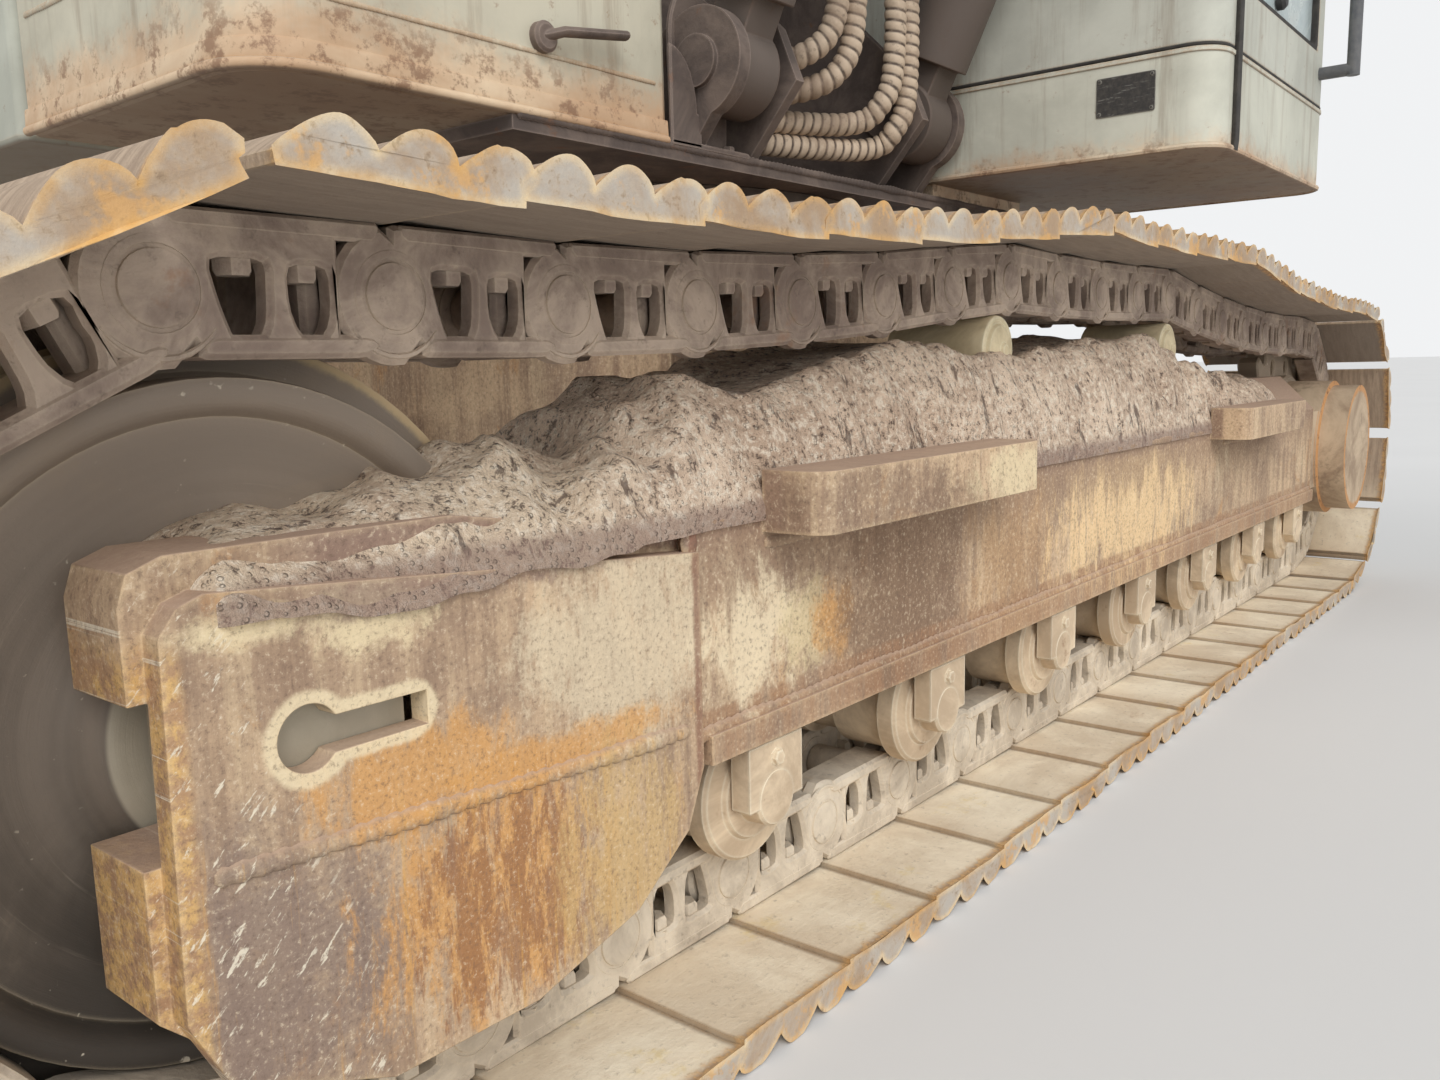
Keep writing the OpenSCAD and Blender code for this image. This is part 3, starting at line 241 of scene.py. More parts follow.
def piece(name, form, slot, material, smooth=40, body=None, numbers=None):
    """A form, or a list of forms, on the body of the node slot, with the finish it is given."""
    points, faces = joined(form) if isinstance(form, list) else form
    mesh = bpy.data.meshes.new(name)
    mesh.vertices.add(len(points))
    mesh.vertices.foreach_set("co", np.ascontiguousarray(points, np.float32).ravel())
    sizes = np.concatenate([np.full(len(f), f.shape[1]) for f in faces])
    mesh.loops.add(int(sizes.sum()))
    mesh.loops.foreach_set("vertex_index", np.concatenate([f.ravel() for f in faces]).astype(np.int32))
    mesh.polygons.add(len(sizes))
    mesh.polygons.foreach_set("loop_start", (np.cumsum(sizes) - sizes).astype(np.int32))
    mesh.update(calc_edges=True)
    for key, values in (numbers or {}).items():
        mesh.attributes.new(key, "FLOAT", "POINT").data.foreach_set("value", values.astype(np.float32))
    return as_piece(name, mesh, body or body_of_node[slot], material, smooth)

def as_piece(name, mesh, body, material, smooth, bevel=0.0):
    """Turns faces outwards, marks edges steeper than smooth as sharp, and lets the piece ride."""
    work = bmesh.new()
    work.from_mesh(mesh)
    bmesh.ops.recalc_face_normals(work, faces=work.faces)
    for face in work.faces:
        face.smooth = True
    sharp = math.radians(smooth)
    for edge in work.edges:
        edge.smooth = len(edge.link_faces) == 2 and edge.calc_face_angle(0) < sharp
    work.to_mesh(mesh)
    work.free()
    made = bpy.data.objects.new(name, mesh)
    bpy.context.scene.collection.objects.link(made)
    made.data.materials.append(material)
    if bevel:
        cut = made.modifiers.new("broken edges", "BEVEL")
        cut.width, cut.segments, cut.limit_method = bevel, 2, "ANGLE"
        cut.angle_limit, cut.harden_normals, cut.use_clamp_overlap = math.radians(28), False, True
    if isinstance(body, tuple):
        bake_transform(made)
    else:
        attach(made, body)
    print(name, len(mesh.polygons), "faces")
    return made

def softened(node, material, width, smooth=35):
    """A node's solid with its loose triangles joined, flat faces made whole and edges rounded."""
    work = bmesh.new()
    work.from_mesh(frame["nodes"][node].data)
    bmesh.ops.remove_doubles(work, verts=work.verts, dist=2e-5)
    bmesh.ops.dissolve_limit(work, angle_limit=math.radians(0.6), verts=work.verts, edges=work.edges)
    mesh = bpy.data.meshes.new(node + "_body")
    work.to_mesh(mesh)
    work.free()
    made = as_piece(node + "_body", mesh, body_of_node[node], material, smooth, width)
    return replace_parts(made, node)

# %% [markdown]
# A finish on worn steel is layers: paint or scale, then rust, dust and grime laid over it by masks, and in
# some finishes painted light and shade.
# The masks are sums and products of noises, so it pays to write them as sums and products.
# The small class below holds one output; adding or multiplying two of them adds the Math node.

# %% Shader maths as expressions
class Wire:
    """One output of a material's sheet of nodes, with the arithmetic signs that join it to others."""
    def __init__(self, sheet, socket):
        self.sheet, self.socket = sheet, socket
    def sum_with(self, kind, *others):
        """Adds the Math node and returns its output."""
        return self.sheet.add("ShaderNodeMath", {"operation": kind}, *others)
    def __add__(self, o): return self.sum_with("ADD", self, o)
    __radd__ = __add__
    def __sub__(self, o): return self.sum_with("SUBTRACT", self, o)
    def __rsub__(self, o): return self.sum_with("SUBTRACT", o, self)
    def __mul__(self, o): return self.sum_with("MULTIPLY", self, o)
    __rmul__ = __mul__
    def __truediv__(self, o): return self.sum_with("DIVIDE", self, o)
    def __rtruediv__(self, o): return self.sum_with("DIVIDE", o, self)
    def __pow__(self, o): return self.sum_with("POWER", self, o)
    def __rpow__(self, o): return self.sum_with("POWER", o, self)
    def __neg__(self): return self.sum_with("MULTIPLY", self, -1.0)
    def __abs__(self): return self.sum_with("ABSOLUTE", self)
    def sine(self): return self.sum_with("SINE", self)
    def root(self): return self.sum_with("SQRT", self)
    def most(self, o): return self.sum_with("MAXIMUM", self, o)
    def least(self, o): return self.sum_with("MINIMUM", self, o)
    def step(self, low, high):
        """0 below low, 1 above high and a smooth rise between; low above high turns it round."""
        settings = {"interpolation_type": "SMOOTHSTEP", "clamp": True}
        return self.sheet.add("ShaderNodeMapRange", settings, self, low, high, 0.0, 1.0)

class Sheet:
    """A material's nodes. add() makes any node from its type, settings and inputs in order."""
    def __init__(self, name):
        self.material = bpy.data.materials.new(name)
        self.material.use_nodes = True
        self.nodes, self.links = self.material.node_tree.nodes, self.material.node_tree.links
        self.shader = self.nodes["Principled BSDF"]
        self.place = self.add("ShaderNodeTexCoord", {}, out="Object")
    def put(self, socket, value):
        """Links a wire to a socket, or sets a number or colour on it."""
        if isinstance(value, Wire):
            self.links.new(value.socket, socket)
        elif value is not None:
            socket.default_value = (*value, 1.0) if socket.type == "RGBA" and len(value) == 3 else value
    def add(self, kind, settings, *inputs, out=0, **named):
        """A node with its settings first, then its sockets by place and by name."""
        node = self.nodes.new(kind)
        for key, value in settings.items():
            if key == "stops":
                for k, (at, colour) in enumerate(value):
                    stop = node.color_ramp.elements[k] if k < 2 else node.color_ramp.elements.new(at)
                    stop.position, stop.color = at, (*colour, 1.0)
            else:
                setattr(node, key, value)
        for socket, value in zip(node.inputs, inputs):
            self.put(socket, value)
        for key, value in named.items():
            self.put(node.inputs[key.replace("_", " ")], value)
        return Wire(self, node.outputs[out])
    def axis(self, which, of=None):
        return self.add("ShaderNodeSeparateXYZ", {}, of or self.place, out="XYZ".index(which))
    def facing(self, which):
        """The share of the surface's own normal that points along an axis of the piece."""
        return self.axis(which, self.add("ShaderNodeTexCoord", {}, out="Normal"))
    def stretched(self, size, shift=(0, 0, 0)):
        return self.add("ShaderNodeMapping", {}, self.place, Location=shift, Scale=size)
    def noise(self, scale, detail=5.0, rough=0.6, size=None, shift=(0, 0, 0), warp=0.0):
        at = self.stretched(size or (1, 1, 1), shift)
        return self.add("ShaderNodeTexNoise", {}, Vector=at, Scale=scale, Detail=detail,
                        Roughness=rough, Distortion=warp)
    def cells(self, scale, size=None, out="Distance"):
        at = self.stretched(size or (1, 1, 1))
        return self.add("ShaderNodeTexVoronoi", {}, Vector=at, Scale=scale, out=out)
    def mix(self, share, a, b):
        node = self.nodes.new("ShaderNodeMix")
        node.data_type = "RGBA"
        node.clamp_factor = True
        self.put(node.inputs["Factor"], share)
        self.put(node.inputs[6], a)
        self.put(node.inputs[7], b)
        return Wire(self, node.outputs[2])
    def lay(self, share, a, b=None):
        """The first coat mixes a and b; each later one lays a over what is there already."""
        self.colour = self.mix(share, self.colour if b is None else a, a if b is None else b)
    def worn_edge(self, radius=0.008):
        """Where a normal rounded over radius leaves the true normal: high on edges."""
        soft = self.add("ShaderNodeBevel", {"samples": 2}, Radius=radius)
        true = self.add("ShaderNodeNewGeometry", {}, out="Normal")
        same = self.add("ShaderNodeVectorMath", {"operation": "DOT_PRODUCT"}, soft, true, out="Value")
        return (1.0 - same).step(0.02, 0.22)
    def shut_in(self, reach=0.15):
        """1 in corners and behind things, 0 in the open."""
        return 1.0 - self.add("ShaderNodeAmbientOcclusion", {"samples": 2}, Distance=reach, out="AO")
    def number(self, name):
        return self.add("ShaderNodeAttribute", {"attribute_name": name}, out="Fac")
    def done(self, rough=0.8, metal=0.0, bumps=(), alpha=None, **fixed):
        """Bumps is a list of (height, strength, depth); each feeds the next one's normal."""
        self.put(self.shader.inputs["Base Color"], self.colour)
        self.put(self.shader.inputs["Roughness"], rough)
        self.put(self.shader.inputs["Metallic"], metal)
        if alpha is not None:
            self.put(self.shader.inputs["Alpha"], alpha)
        for key, value in fixed.items():
            self.put(self.shader.inputs[key.replace("_", " ")], value)
        normal = None
        for height, strength, depth in bumps:
            normal = self.add("ShaderNodeBump", {}, Strength=strength, Distance=depth, Height=height,
                              Normal=normal)
        if normal:
            self.put(self.shader.inputs["Normal"], normal)
        return self.material

# %% [markdown]
# The track frame was painted once. What shows now is dried mud in tan and brown, run down in
# streaks, with rust where it was scraped. Streaks come from noise squeezed across and stretched
# upwards. Large marks have fixed places: each is an oval on the side of the frame with a torn rim.

# %% Mud-caked frame steel
def patch(across, up, x, z, rx, rz, torn, rag):
    """1 inside an oval about (x, z) on the side of the machine, its border torn by the rag noise."""
    u, v = (across - x) * (1 / rx), (up - z) * (1 / rz)
    return (u * u + v * v + (rag - 0.5) * (torn * 9)).step(1.7, 0.1)

def caked_steel(name, tan=(0.62, 0.44, 0.28), brown=(0.36, 0.245, 0.165), marks=()):
    """Dried mud in runs over brown steel; marks are ovals of other colours, and faces that point down carry
    painted shade.
    """
    s = Sheet(name)
    broad = s.noise(3.4, 6, 0.68, warp=0.6)
    runs = s.noise(1.0, 6, 0.72, size=(30, 30, 2.4))
    grain, fine = s.noise(170, 3, 0.75), s.noise(46, 5, 0.75)
    up = s.facing("Z")
    s.lay(broad.step(0.36, 0.64), brown, tan)
    s.lay(runs.step(0.47, 0.66) * 0.5, (0.72, 0.55, 0.35))
    s.lay(runs.step(0.50, 0.36) * 0.5, (0.24, 0.155, 0.105))
    pale = s.noise(5.4, 6, 0.72, shift=(3, 1, 2), warp=0.7).step(0.58, 0.72)
    s.lay(pale * 0.55, (0.74, 0.62, 0.42))
    rust = (s.noise(6.2, 7, 0.72, shift=(1, 5, 9), warp=0.8) + runs * 0.22).step(0.67, 0.80)
    s.lay(rust * 0.65, (0.50, 0.25, 0.09))
    side_x, side_z, rags = s.axis("X"), s.axis("Z"), {}
    for x, z, rx, rz, torn, share, mark, size in marks:
        if size not in rags:
            rags[size] = s.noise(17, 6, 0.8, size=size, shift=(1.7, 0.3, 2.9), warp=0.3)
        s.lay(patch(side_x, side_z, x, z, rx, rz, torn, rags[size]) * share, mark)
    if marks:
        guard_marks(s, fine, runs)
    s.lay(grain.step(0.50, 0.72) * 0.6, (0.16, 0.105, 0.075))
    s.lay(grain.step(0.46, 0.30) * 0.45, (0.86, 0.72, 0.52))
    edge = s.worn_edge(0.010) * fine.step(0.32, 0.58)
    s.lay(edge * 0.6, (0.80, 0.62, 0.38))
    s.lay(up.step(0.35, 0.85) * 0.8, (0.46, 0.32, 0.235))
    # painted shade: faces that point down are darkened
    s.lay(up.step(-0.4, -0.9) * 0.7, (0.14, 0.095, 0.07))
    height = fine * 0.6 + grain * 0.35
    return s.done(rough=0.96 - rust * 0.1, bumps=[(height, 0.55, 0.004), (broad, 0.25, 0.025)])

KEYHOLE = (-1.867, 0.482, 0.097)
CREAM, ORANGE, SLATE = (0.82, 0.68, 0.43), (0.66, 0.34, 0.11), (0.255, 0.185, 0.15)
FRAME_MARKS = [(-1.915, 0.582, 0.05, 0.016, 0.5, 0.85, CREAM, None),
               (-1.80, 0.572, 0.06, 0.03, 0.8, 0.8, CREAM, None),
               (-1.50, 0.50, 0.13, 0.10, 0.8, 0.75, (0.72, 0.60, 0.42), (1.4, 1.4, 0.8)),
               (-1.93, 0.29, 0.15, 0.135, 0.5, 0.85, SLATE, None),
               (-1.77, 0.425, 0.10, 0.045, 0.7, 0.8, ORANGE, (2, 2, 0.6)),
               (-1.60, 0.397, 0.16, 0.022, 0.6, 0.8, ORANGE, None),
               (-1.68, 0.285, 0.13, 0.10, 0.9, 0.85, ORANGE, (2, 2, 0.6)),
               (-1.66, 0.27, 0.10, 0.09, 1.3, 0.75, (0.30, 0.135, 0.06), (3, 3, 0.8)),
               (-1.52, 0.27, 0.09, 0.11, 0.8, 0.75, (0.62, 0.42, 0.19), (2, 2, 0.6)),
               (-1.29, 0.455, 0.085, 0.085, 0.9, 0.85, (0.84, 0.70, 0.48), (1.4, 1.4, 0.8)),
               (-1.165, 0.44, 0.06, 0.05, 0.9, 0.7, (0.78, 0.64, 0.38), None),
               (-1.105, 0.435, 0.045, 0.055, 0.6, 0.8, ORANGE, (1.4, 1.4, 0.8)),
               (-0.93, 0.43, 0.17, 0.16, 0.5, 0.85, (0.235, 0.145, 0.09), None),
               (-0.55, 0.45, 0.16, 0.16, 0.7, 0.6, (0.46, 0.27, 0.13), (2, 2, 0.6)),
               (0.0, 0.46, 0.35, 0.14, 0.9, 0.75, (0.92, 0.66, 0.36), (2, 2, 0.6)),
               (-0.72, 0.60, 0.14, 0.045, 0.7, 0.75, CREAM, None),
               (-1.10, 0.60, 0.14, 0.05, 0.7, 0.6, (0.22, 0.14, 0.095), None)]

def guard_marks(s, fine, runs):
    """Marks that follow the guard's own shape: keyhole ring, front strip, nicks, seam and joint."""
    x, z = s.axis("X"), s.axis("Z")
    x0, z0, slot = KEYHOLE
    dx, dz = x - x0, z - z0
    along = dx.most(0.0).least(slot)
    hole = (dx * dx + dz * dz).root() + fine * 0.008
    groove = ((dx - along) * (dx - along) + dz * dz).root() + fine * 0.008
    ring = hole.step(0.047, 0.040).most(groove.step(0.033, 0.027))
    s.lay(ring * 0.8, (0.84, 0.70, 0.46))
    strip = (x + fine * 0.02).step(-1.948, -1.960) * z.step(0.59, 0.55)
    s.lay(strip * 0.75, s.mix(fine.step(0.42, 0.6), (0.46, 0.26, 0.13), (0.78, 0.48, 0.16)))
    slant = s.add("ShaderNodeCombineXYZ", {}, (x + z) * 26, s.axis("Y"), (x - z) * 95)
    nick = s.add("ShaderNodeTexNoise", {}, Vector=slant, Scale=1.0, Detail=4.0, Roughness=0.7)
    low_left = ((x + 1.86) * 3.0 + z).step(0.44, 0.30)
    s.lay(nick.step(0.60, 0.66) * low_left * 0.8, (0.86, 0.78, 0.62))
    drips = s.noise(1.0, 5, 0.7, size=(60, 60, 3), shift=(5, 0, 0))
    s.lay(drips.step(0.56, 0.68) * z.step(0.46, 0.36) * x.step(-1.39, -1.43) * 0.5, (0.70, 0.38, 0.10))
    wall = abs(s.axis("Y")).step(1.522, 1.512)
    stain = (z + fine * 0.05 + runs * 0.05).step(0.615, 0.632) * x.step(-1.90, -1.82) * wall
    s.lay(stain * 0.75, (0.27, 0.175, 0.14))
    washed = (z + runs * 0.34).step(0.66, 0.72) * x.step(-1.40, -1.37) * wall
    foot = z.step(0.382, 0.372) * x.step(-1.39, -1.38)
    s.lay(foot * runs.step(0.35, 0.6) * 0.8, (0.36, 0.20, 0.11))
    s.lay(washed * 0.7, (0.33, 0.215, 0.14))
    joint = abs(x + 1.3895).step(0.012, 0.005) * z.step(0.62, 0.58)
    s.lay(joint * 0.75, (0.24, 0.11, 0.07))

frame_steel = caked_steel("caked_frame_steel", marks=FRAME_MARKS)
body_steel = caked_steel("caked_body_steel")

# %% [markdown]
# The chain is darker: forged links keep a thin oily crust above and pale dried slurry below, and carry
# painted shade where they are shut in.
# The shoes are rolled plate: dusty outside, with painted shade inside on the top run, and their cut ends are
# worn to bare blue-grey steel inside a rusty outline. The idler's side is scored in circles, with a painted
# highlight above its axle and painted shade below it.

# %% Chain, shoe and idler finishes
def chain_steel(name):
    """Scale and dried slurry: crusted brown above, pale mud wash on the bottom run, and painted shade where
    the links are shut in.
    """
    s = Sheet(name)
    broad, fine = s.noise(8, 6, 0.7, warp=0.5), s.noise(65, 5, 0.72)
    low = s.axis("Z").step(0.36, 0.22)
    s.lay(broad.step(0.35, 0.66), (0.27, 0.20, 0.16), (0.55, 0.435, 0.34))
    s.lay(s.noise(11, 6, 0.7, shift=(2, 8, 5)).step(0.6, 0.7) * 0.5, (0.34, 0.17, 0.09))
    slurry = s.mix(broad.step(0.35, 0.66), (0.52, 0.44, 0.34), (0.82, 0.72, 0.57))
    s.lay(low * 0.92, slurry)
    edge = s.worn_edge(0.006)
    s.lay(edge * (0.35 + low * 0.3), (0.74, 0.62, 0.46))
    # painted shade: darkened where the ambient occlusion finds corners and parts close by
    s.lay(s.shut_in(0.05).step(0.6, 1.0) * 0.5, (0.09, 0.068, 0.055))
    s.lay(fine.step(0.56, 0.74) * 0.5, (0.10, 0.072, 0.055))
    return s.done(rough=0.74 + broad * 0.22, bumps=[(fine, 0.6, 0.003), (broad, 0.3, 0.010)])

def shoe_steel(name, middle):
    """Worn plate, with painted shade on faces that point down on the top run; along runs from 0 to 1 over one
    shoe, across is the distance from its middle.
    """
    s = Sheet(name)
    across = abs(s.axis("Y") - middle)
    broad, fine = s.noise(5.0, 6, 0.7, warp=0.4), s.noise(85, 4, 0.72)
    brushed = s.noise(6, 6, 0.75, size=(1.6, 14, 1.6))
    low = s.axis("Z").step(0.36, 0.2)
    s.lay(brushed.step(0.3, 0.7), (0.34, 0.25, 0.18), (0.56, 0.43, 0.31))
    s.lay(low * 0.93, s.mix(broad.step(0.32, 0.66), (0.76, 0.63, 0.46), (1.0, 0.89, 0.69)))
    s.lay(s.noise(5, 6, 0.75, shift=(3, 3, 3), warp=1).step(0.60, 0.72) * 0.5, (0.48, 0.28, 0.14))
    s.lay(s.noise(7, 6, 0.75, shift=(6, 1, 3)).step(0.58, 0.70) * low * 0.55, (0.78, 0.60, 0.24))
    along = s.number("along")
    s.lay((along + broad * 0.3).step(0.65, 1.25) * low * 0.45, (0.52, 0.39, 0.26))
    lap = along.step(0.045, 0.0).most(along.step(0.93, 0.96)) * low
    s.lay(lap * 0.75, (0.20, 0.14, 0.10))
    # painted shade: on the top run, faces that point down are darkened
    inner = s.facing("Z").step(-0.3, -0.8) * (1.0 - low)
    s.lay(inner * 0.85, s.mix(brushed, (0.20, 0.16, 0.13), (0.36, 0.30, 0.24)))
    rim = (across + fine * 0.02 + broad * 0.02).step(0.298, 0.312)
    s.lay(rim * 0.85, s.mix(fine.step(0.4, 0.6), (0.36, 0.19, 0.09), (0.72, 0.43, 0.17)))
    end = abs(s.facing("Y")).step(0.55, 0.9) * across.step(0.285, 0.293)
    worn = s.mix(broad.step(0.38, 0.62), (0.40, 0.28, 0.18), (0.50, 0.465, 0.41))
    worn = s.mix(fine.step(0.54, 0.70) * 0.6, worn, (0.34, 0.24, 0.15))
    worn = s.mix(s.noise(14, 5, 0.72, shift=(2, 4, 4)).step(0.54, 0.64) * 0.75, worn, (0.68, 0.38, 0.13))
    s.lay(end * 0.9, worn)
    edge = s.worn_edge(0.011) * (0.3 + across.step(0.27, 0.30) * 0.7)
    s.lay(edge, s.mix(broad.step(0.42, 0.6), (0.70, 0.40, 0.13), (0.86, 0.66, 0.38)))
    s.lay(fine.step(0.56, 0.76) * 0.4, (0.15, 0.105, 0.075))
    return s.done(rough=0.66 + broad * 0.3, bumps=[(fine, 0.45, 0.003), (brushed, 0.25, 0.006)])

def wheel_steel(name, x, z, tint=(0.13, 0.105, 0.082), hub=0.0, rim=9.0):
    """Cast steel scored in rings: the noise is read by radius, and hardly by angle. A painted highlight lies
    above the axle and painted shade below it.
    """
    s = Sheet(name)
    dx, dz = s.axis("X") - x, s.axis("Z") - z
    radius = (dx * dx + dz * dz).root()
    at = s.add("ShaderNodeCombineXYZ", {}, radius, dx * 0.03, dz * 0.03)
    scores = s.add("ShaderNodeTexNoise", {}, Vector=at, Scale=90.0, Detail=6.0, Roughness=0.8)
    rings = s.add("ShaderNodeTexNoise", {}, Vector=at, Scale=22.0, Detail=3.0, Roughness=0.6)
    broad, fine = s.noise(5, 6, 0.7, warp=0.7), s.noise(70, 4, 0.7)
    s.lay(rings.step(0.35, 0.65), tint, tuple(1.7 * c for c in tint))
    # painted highlight above the axle and painted shade below it, as lighter and darker copies of the tint
    s.lay((s.axis("Z") + broad * 0.2).step(0.50, 0.85) * 0.6, tuple(2.9 * c for c in tint))
    s.lay((s.axis("Z") + broad * 0.2).step(0.54, 0.34) * 0.85, tuple(0.4 * c for c in tint))
    s.lay(scores.step(0.60, 0.74) * 0.5, (0.42, 0.35, 0.27))
    s.lay(broad.step(0.56, 0.74) * 0.5, (0.32, 0.25, 0.18))
    # more painted shade over the lower part
    under = (s.axis("Z") + broad * 0.25).step(0.62, 0.34)
    s.lay(under * 0.75, tuple(0.42 * c for c in tint))
    specks = s.noise(60, 3, 0.7, shift=(5, 5, 0)).step(0.66, 0.72) * s.noise(7, 4, 0.7).step(0.42, 0.6)
    s.lay(specks * 0.8, (0.78, 0.70, 0.55))
    s.lay(radius.step(hub, hub - 0.004) * 0.85, s.mix(broad, (0.34, 0.30, 0.22), (0.62, 0.55, 0.43)))
    s.lay((radius + fine * 0.008).step(rim, rim + 0.008) * 0.75, (0.72, 0.54, 0.30))
    s.lay(s.worn_edge(0.006) * 0.5, (0.70, 0.58, 0.40))
    return s.done(rough=0.5 + broad * 0.35, metal=0.1, bumps=[(scores, 0.25, 0.003), (fine, 0.3, 0.002)])

link_steel = chain_steel("crusted_chain_steel")
print("finishes", len(bpy.data.materials))

# %% [markdown]
# The mud packed on the frame is damp crumbs: a pinkish brown with pale stones in it.
# Its lumps are real geometry further on; the finish adds the grains between them, with a painted
# highlight on the crumbs and painted shade between them.

# %% Mud, house paint and small finishes
def packed_mud(name):
    """Damp crumbs with pale stones between dark cracks; the crumbs carry a painted highlight on their tops
    and painted shade in the hollows between them.
    """
    s = Sheet(name)
    broad, crumbs = s.noise(6, 7, 0.7, warp=0.5), s.noise(75, 5, 0.78)
    stones = s.cells(120).step(0.34, 0.16)
    cracks = s.noise(1.0, 6, 0.75, size=(34, 34, 13), warp=0.6)
    s.lay(broad.step(0.34, 0.66), (0.62, 0.45, 0.325), (0.92, 0.72, 0.54))
    s.lay(s.axis("X").step(-1.35, -1.6) * broad.step(0.3, 0.6) * 0.6, (0.82, 0.67, 0.48))
    # painted highlight on the tops of the crumbs
    s.lay(crumbs.step(0.50, 0.60) * 0.85, (1.0, 0.87, 0.70))
    s.lay(stones * s.noise(26, 3, 0.6).step(0.48, 0.62) * 0.7, (0.90, 0.80, 0.64))
    # painted shade in the hollows between the crumbs
    s.lay(crumbs.step(0.45, 0.35) * 0.9, (0.12, 0.08, 0.06))
    s.lay(cracks.step(0.44, 0.37) * 0.8, (0.13, 0.086, 0.065))
    low = (s.axis("Z") + crumbs * 0.02).step(0.632, 0.612) * abs(s.facing("Y")).step(0.4, 0.8)
    s.lay(low * 0.7, (0.34, 0.225, 0.18))
    height = crumbs + stones * 0.4 + cracks * 0.6
    return s.done(rough=0.96, bumps=[(height, 1.0, 0.011)])

def faded_paint(name, paint=(0.40, 0.405, 0.34), rust_below=None, wear=1.0, grime=1.0,
                dark_below=None):
    """Chalky paint, with painted shade on faces that point down; rust_below is the height under which the
    metal has rusted through.
    """
    s = Sheet(name)
    broad, fine = s.noise(1.7, 6, 0.65, warp=0.5), s.noise(48, 5, 0.7)
    runs = s.noise(1.0, 6, 0.72, size=(16, 16, 1.1))
    scratch = s.noise(1.0, 5, 0.8, size=(9, 9, 60), shift=(2, 7, 1))
    s.lay(broad.step(0.35, 0.66), paint, tuple(min(1, 1.3 * c + 0.02) for c in paint))
    s.lay(runs.step(0.50, 0.68) * 0.45 * grime, (0.27, 0.20, 0.135))
    s.lay(s.noise(26, 6, 0.75, shift=(1, 1, 6)).step(0.62, 0.7) * 0.5 * wear, (0.26, 0.12, 0.05))
    s.lay(scratch.step(0.66, 0.72) * 0.3 * wear, (0.70, 0.68, 0.58))
    edge = s.worn_edge(0.010)
    s.lay((edge * fine.step(0.3, 0.56)) * 0.9 * wear, (0.46, 0.24, 0.10))
    if rust_below is not None:
        rise = s.axis("Z") + fine * 0.03 + s.noise(6, 6, 0.7) * 0.16 - 0.095
        ragged = rise.step(rust_below + 0.03, rust_below - 0.06)
        s.lay(ragged * 0.8, s.mix(broad.step(0.4, 0.6), (0.56, 0.34, 0.19), (0.80, 0.60, 0.40)))
        s.lay(ragged * s.noise(22, 5, 0.75).step(0.5, 0.62) * 0.75, (0.22, 0.115, 0.065))
    s.lay(s.facing("Z").step(0.6, 0.95) * 0.55 * grime, (0.46, 0.39, 0.29))
    # painted shade: faces that point down are darkened
    s.lay(s.facing("Z").step(-0.5, -0.9) * 0.7, (0.19, 0.135, 0.10))
    if dark_below is not None:
        # darker towards the bottom, below the dark_below height
        darker_low = (s.axis("Z") + broad * 0.5).step(dark_below + 0.35, dark_below + 0.05)
        s.lay(darker_low * 0.9, (0.115, 0.083, 0.068))
    return s.done(rough=0.55 + broad * 0.3 + edge * 0.1,
                  bumps=[(fine * 0.5 + s.noise(140, 3, 0.6) * 0.3, 0.25, 0.002), (broad, 0.12, 0.02)])

def grimy_steel(name, base=(0.075, 0.06, 0.05), dust=(0.22, 0.17, 0.125), amount=0.6):
    """Bare or oily steel with dust on what faces up and along its edges."""
    s = Sheet(name)
    broad, fine = s.noise(6, 6, 0.7, warp=0.5), s.noise(65, 4, 0.7)
    s.lay(broad.step(0.38, 0.66) * amount, base, dust)
    s.lay(s.noise(14, 6, 0.75, shift=(3, 0, 3)).step(0.6, 0.7) * 0.5, (0.22, 0.09, 0.035))
    s.lay(s.facing("Z").step(0.5, 0.95) * 0.6 * amount, dust)
    s.lay(s.worn_edge(0.006) * 0.5, tuple(min(1, 1.6 * c + 0.05) for c in dust))
    return s.done(rough=0.68 + broad * 0.25, bumps=[(fine, 0.45, 0.003)])

def plain_grain(name, colour_a, colour_b, rough=0.6, metal=0.0, scale=40.0, bump=0.2, **fixed):
    """Two close tones over a fine grain, for small parts that still need some life."""
    s = Sheet(name)
    fine, broad = s.noise(scale, 4, 0.65), s.noise(5, 4, 0.6)
    s.lay(fine.step(0.35, 0.68) * 0.5 + broad * 0.4, colour_a, colour_b)
    return s.done(rough=rough + broad * 0.15, metal=metal, bumps=[(fine, bump, 0.002)], **fixed)

mud = packed_mud("packed_mud")
house_paint = faded_paint("faded_house_paint")
deck_paint = faded_paint("faded_deck_paint", paint=(0.46, 0.43, 0.335), rust_below=1.30)
boom_paint = faded_paint("faded_boom_paint", wear=1.2, dark_below=2.35)
bracket_steel = grimy_steel("greasy_bracket_steel", (0.095, 0.072, 0.062), (0.27, 0.205, 0.165), 0.5)
chrome = plain_grain("hard_chrome_rod", (0.62, 0.62, 0.63), (0.44, 0.43, 0.42),
                     rough=0.12, metal=1.0, bump=0.05)
black_plastic = plain_grain("black_plastic", (0.022, 0.022, 0.023), (0.05, 0.047, 0.043), rough=0.5)
black_rubber = plain_grain("black_rubber", (0.02, 0.019, 0.018), (0.075, 0.065, 0.055), rough=0.75)
lamp_glass = plain_grain("lamp_glass", (0.72, 0.74, 0.74), (0.58, 0.6, 0.6), rough=0.12, scale=90.0)
print("finishes", len(bpy.data.materials))

# %% [markdown]
# The chain runs round the idler and the sprocket. Its pins are one pitch apart along a path of
# four parts: the flat bottom run, half a turn on the idler, the top run that sags between two
# carrier rollers, and half a turn on the sprocket. Every link and shoe is placed from two pins.

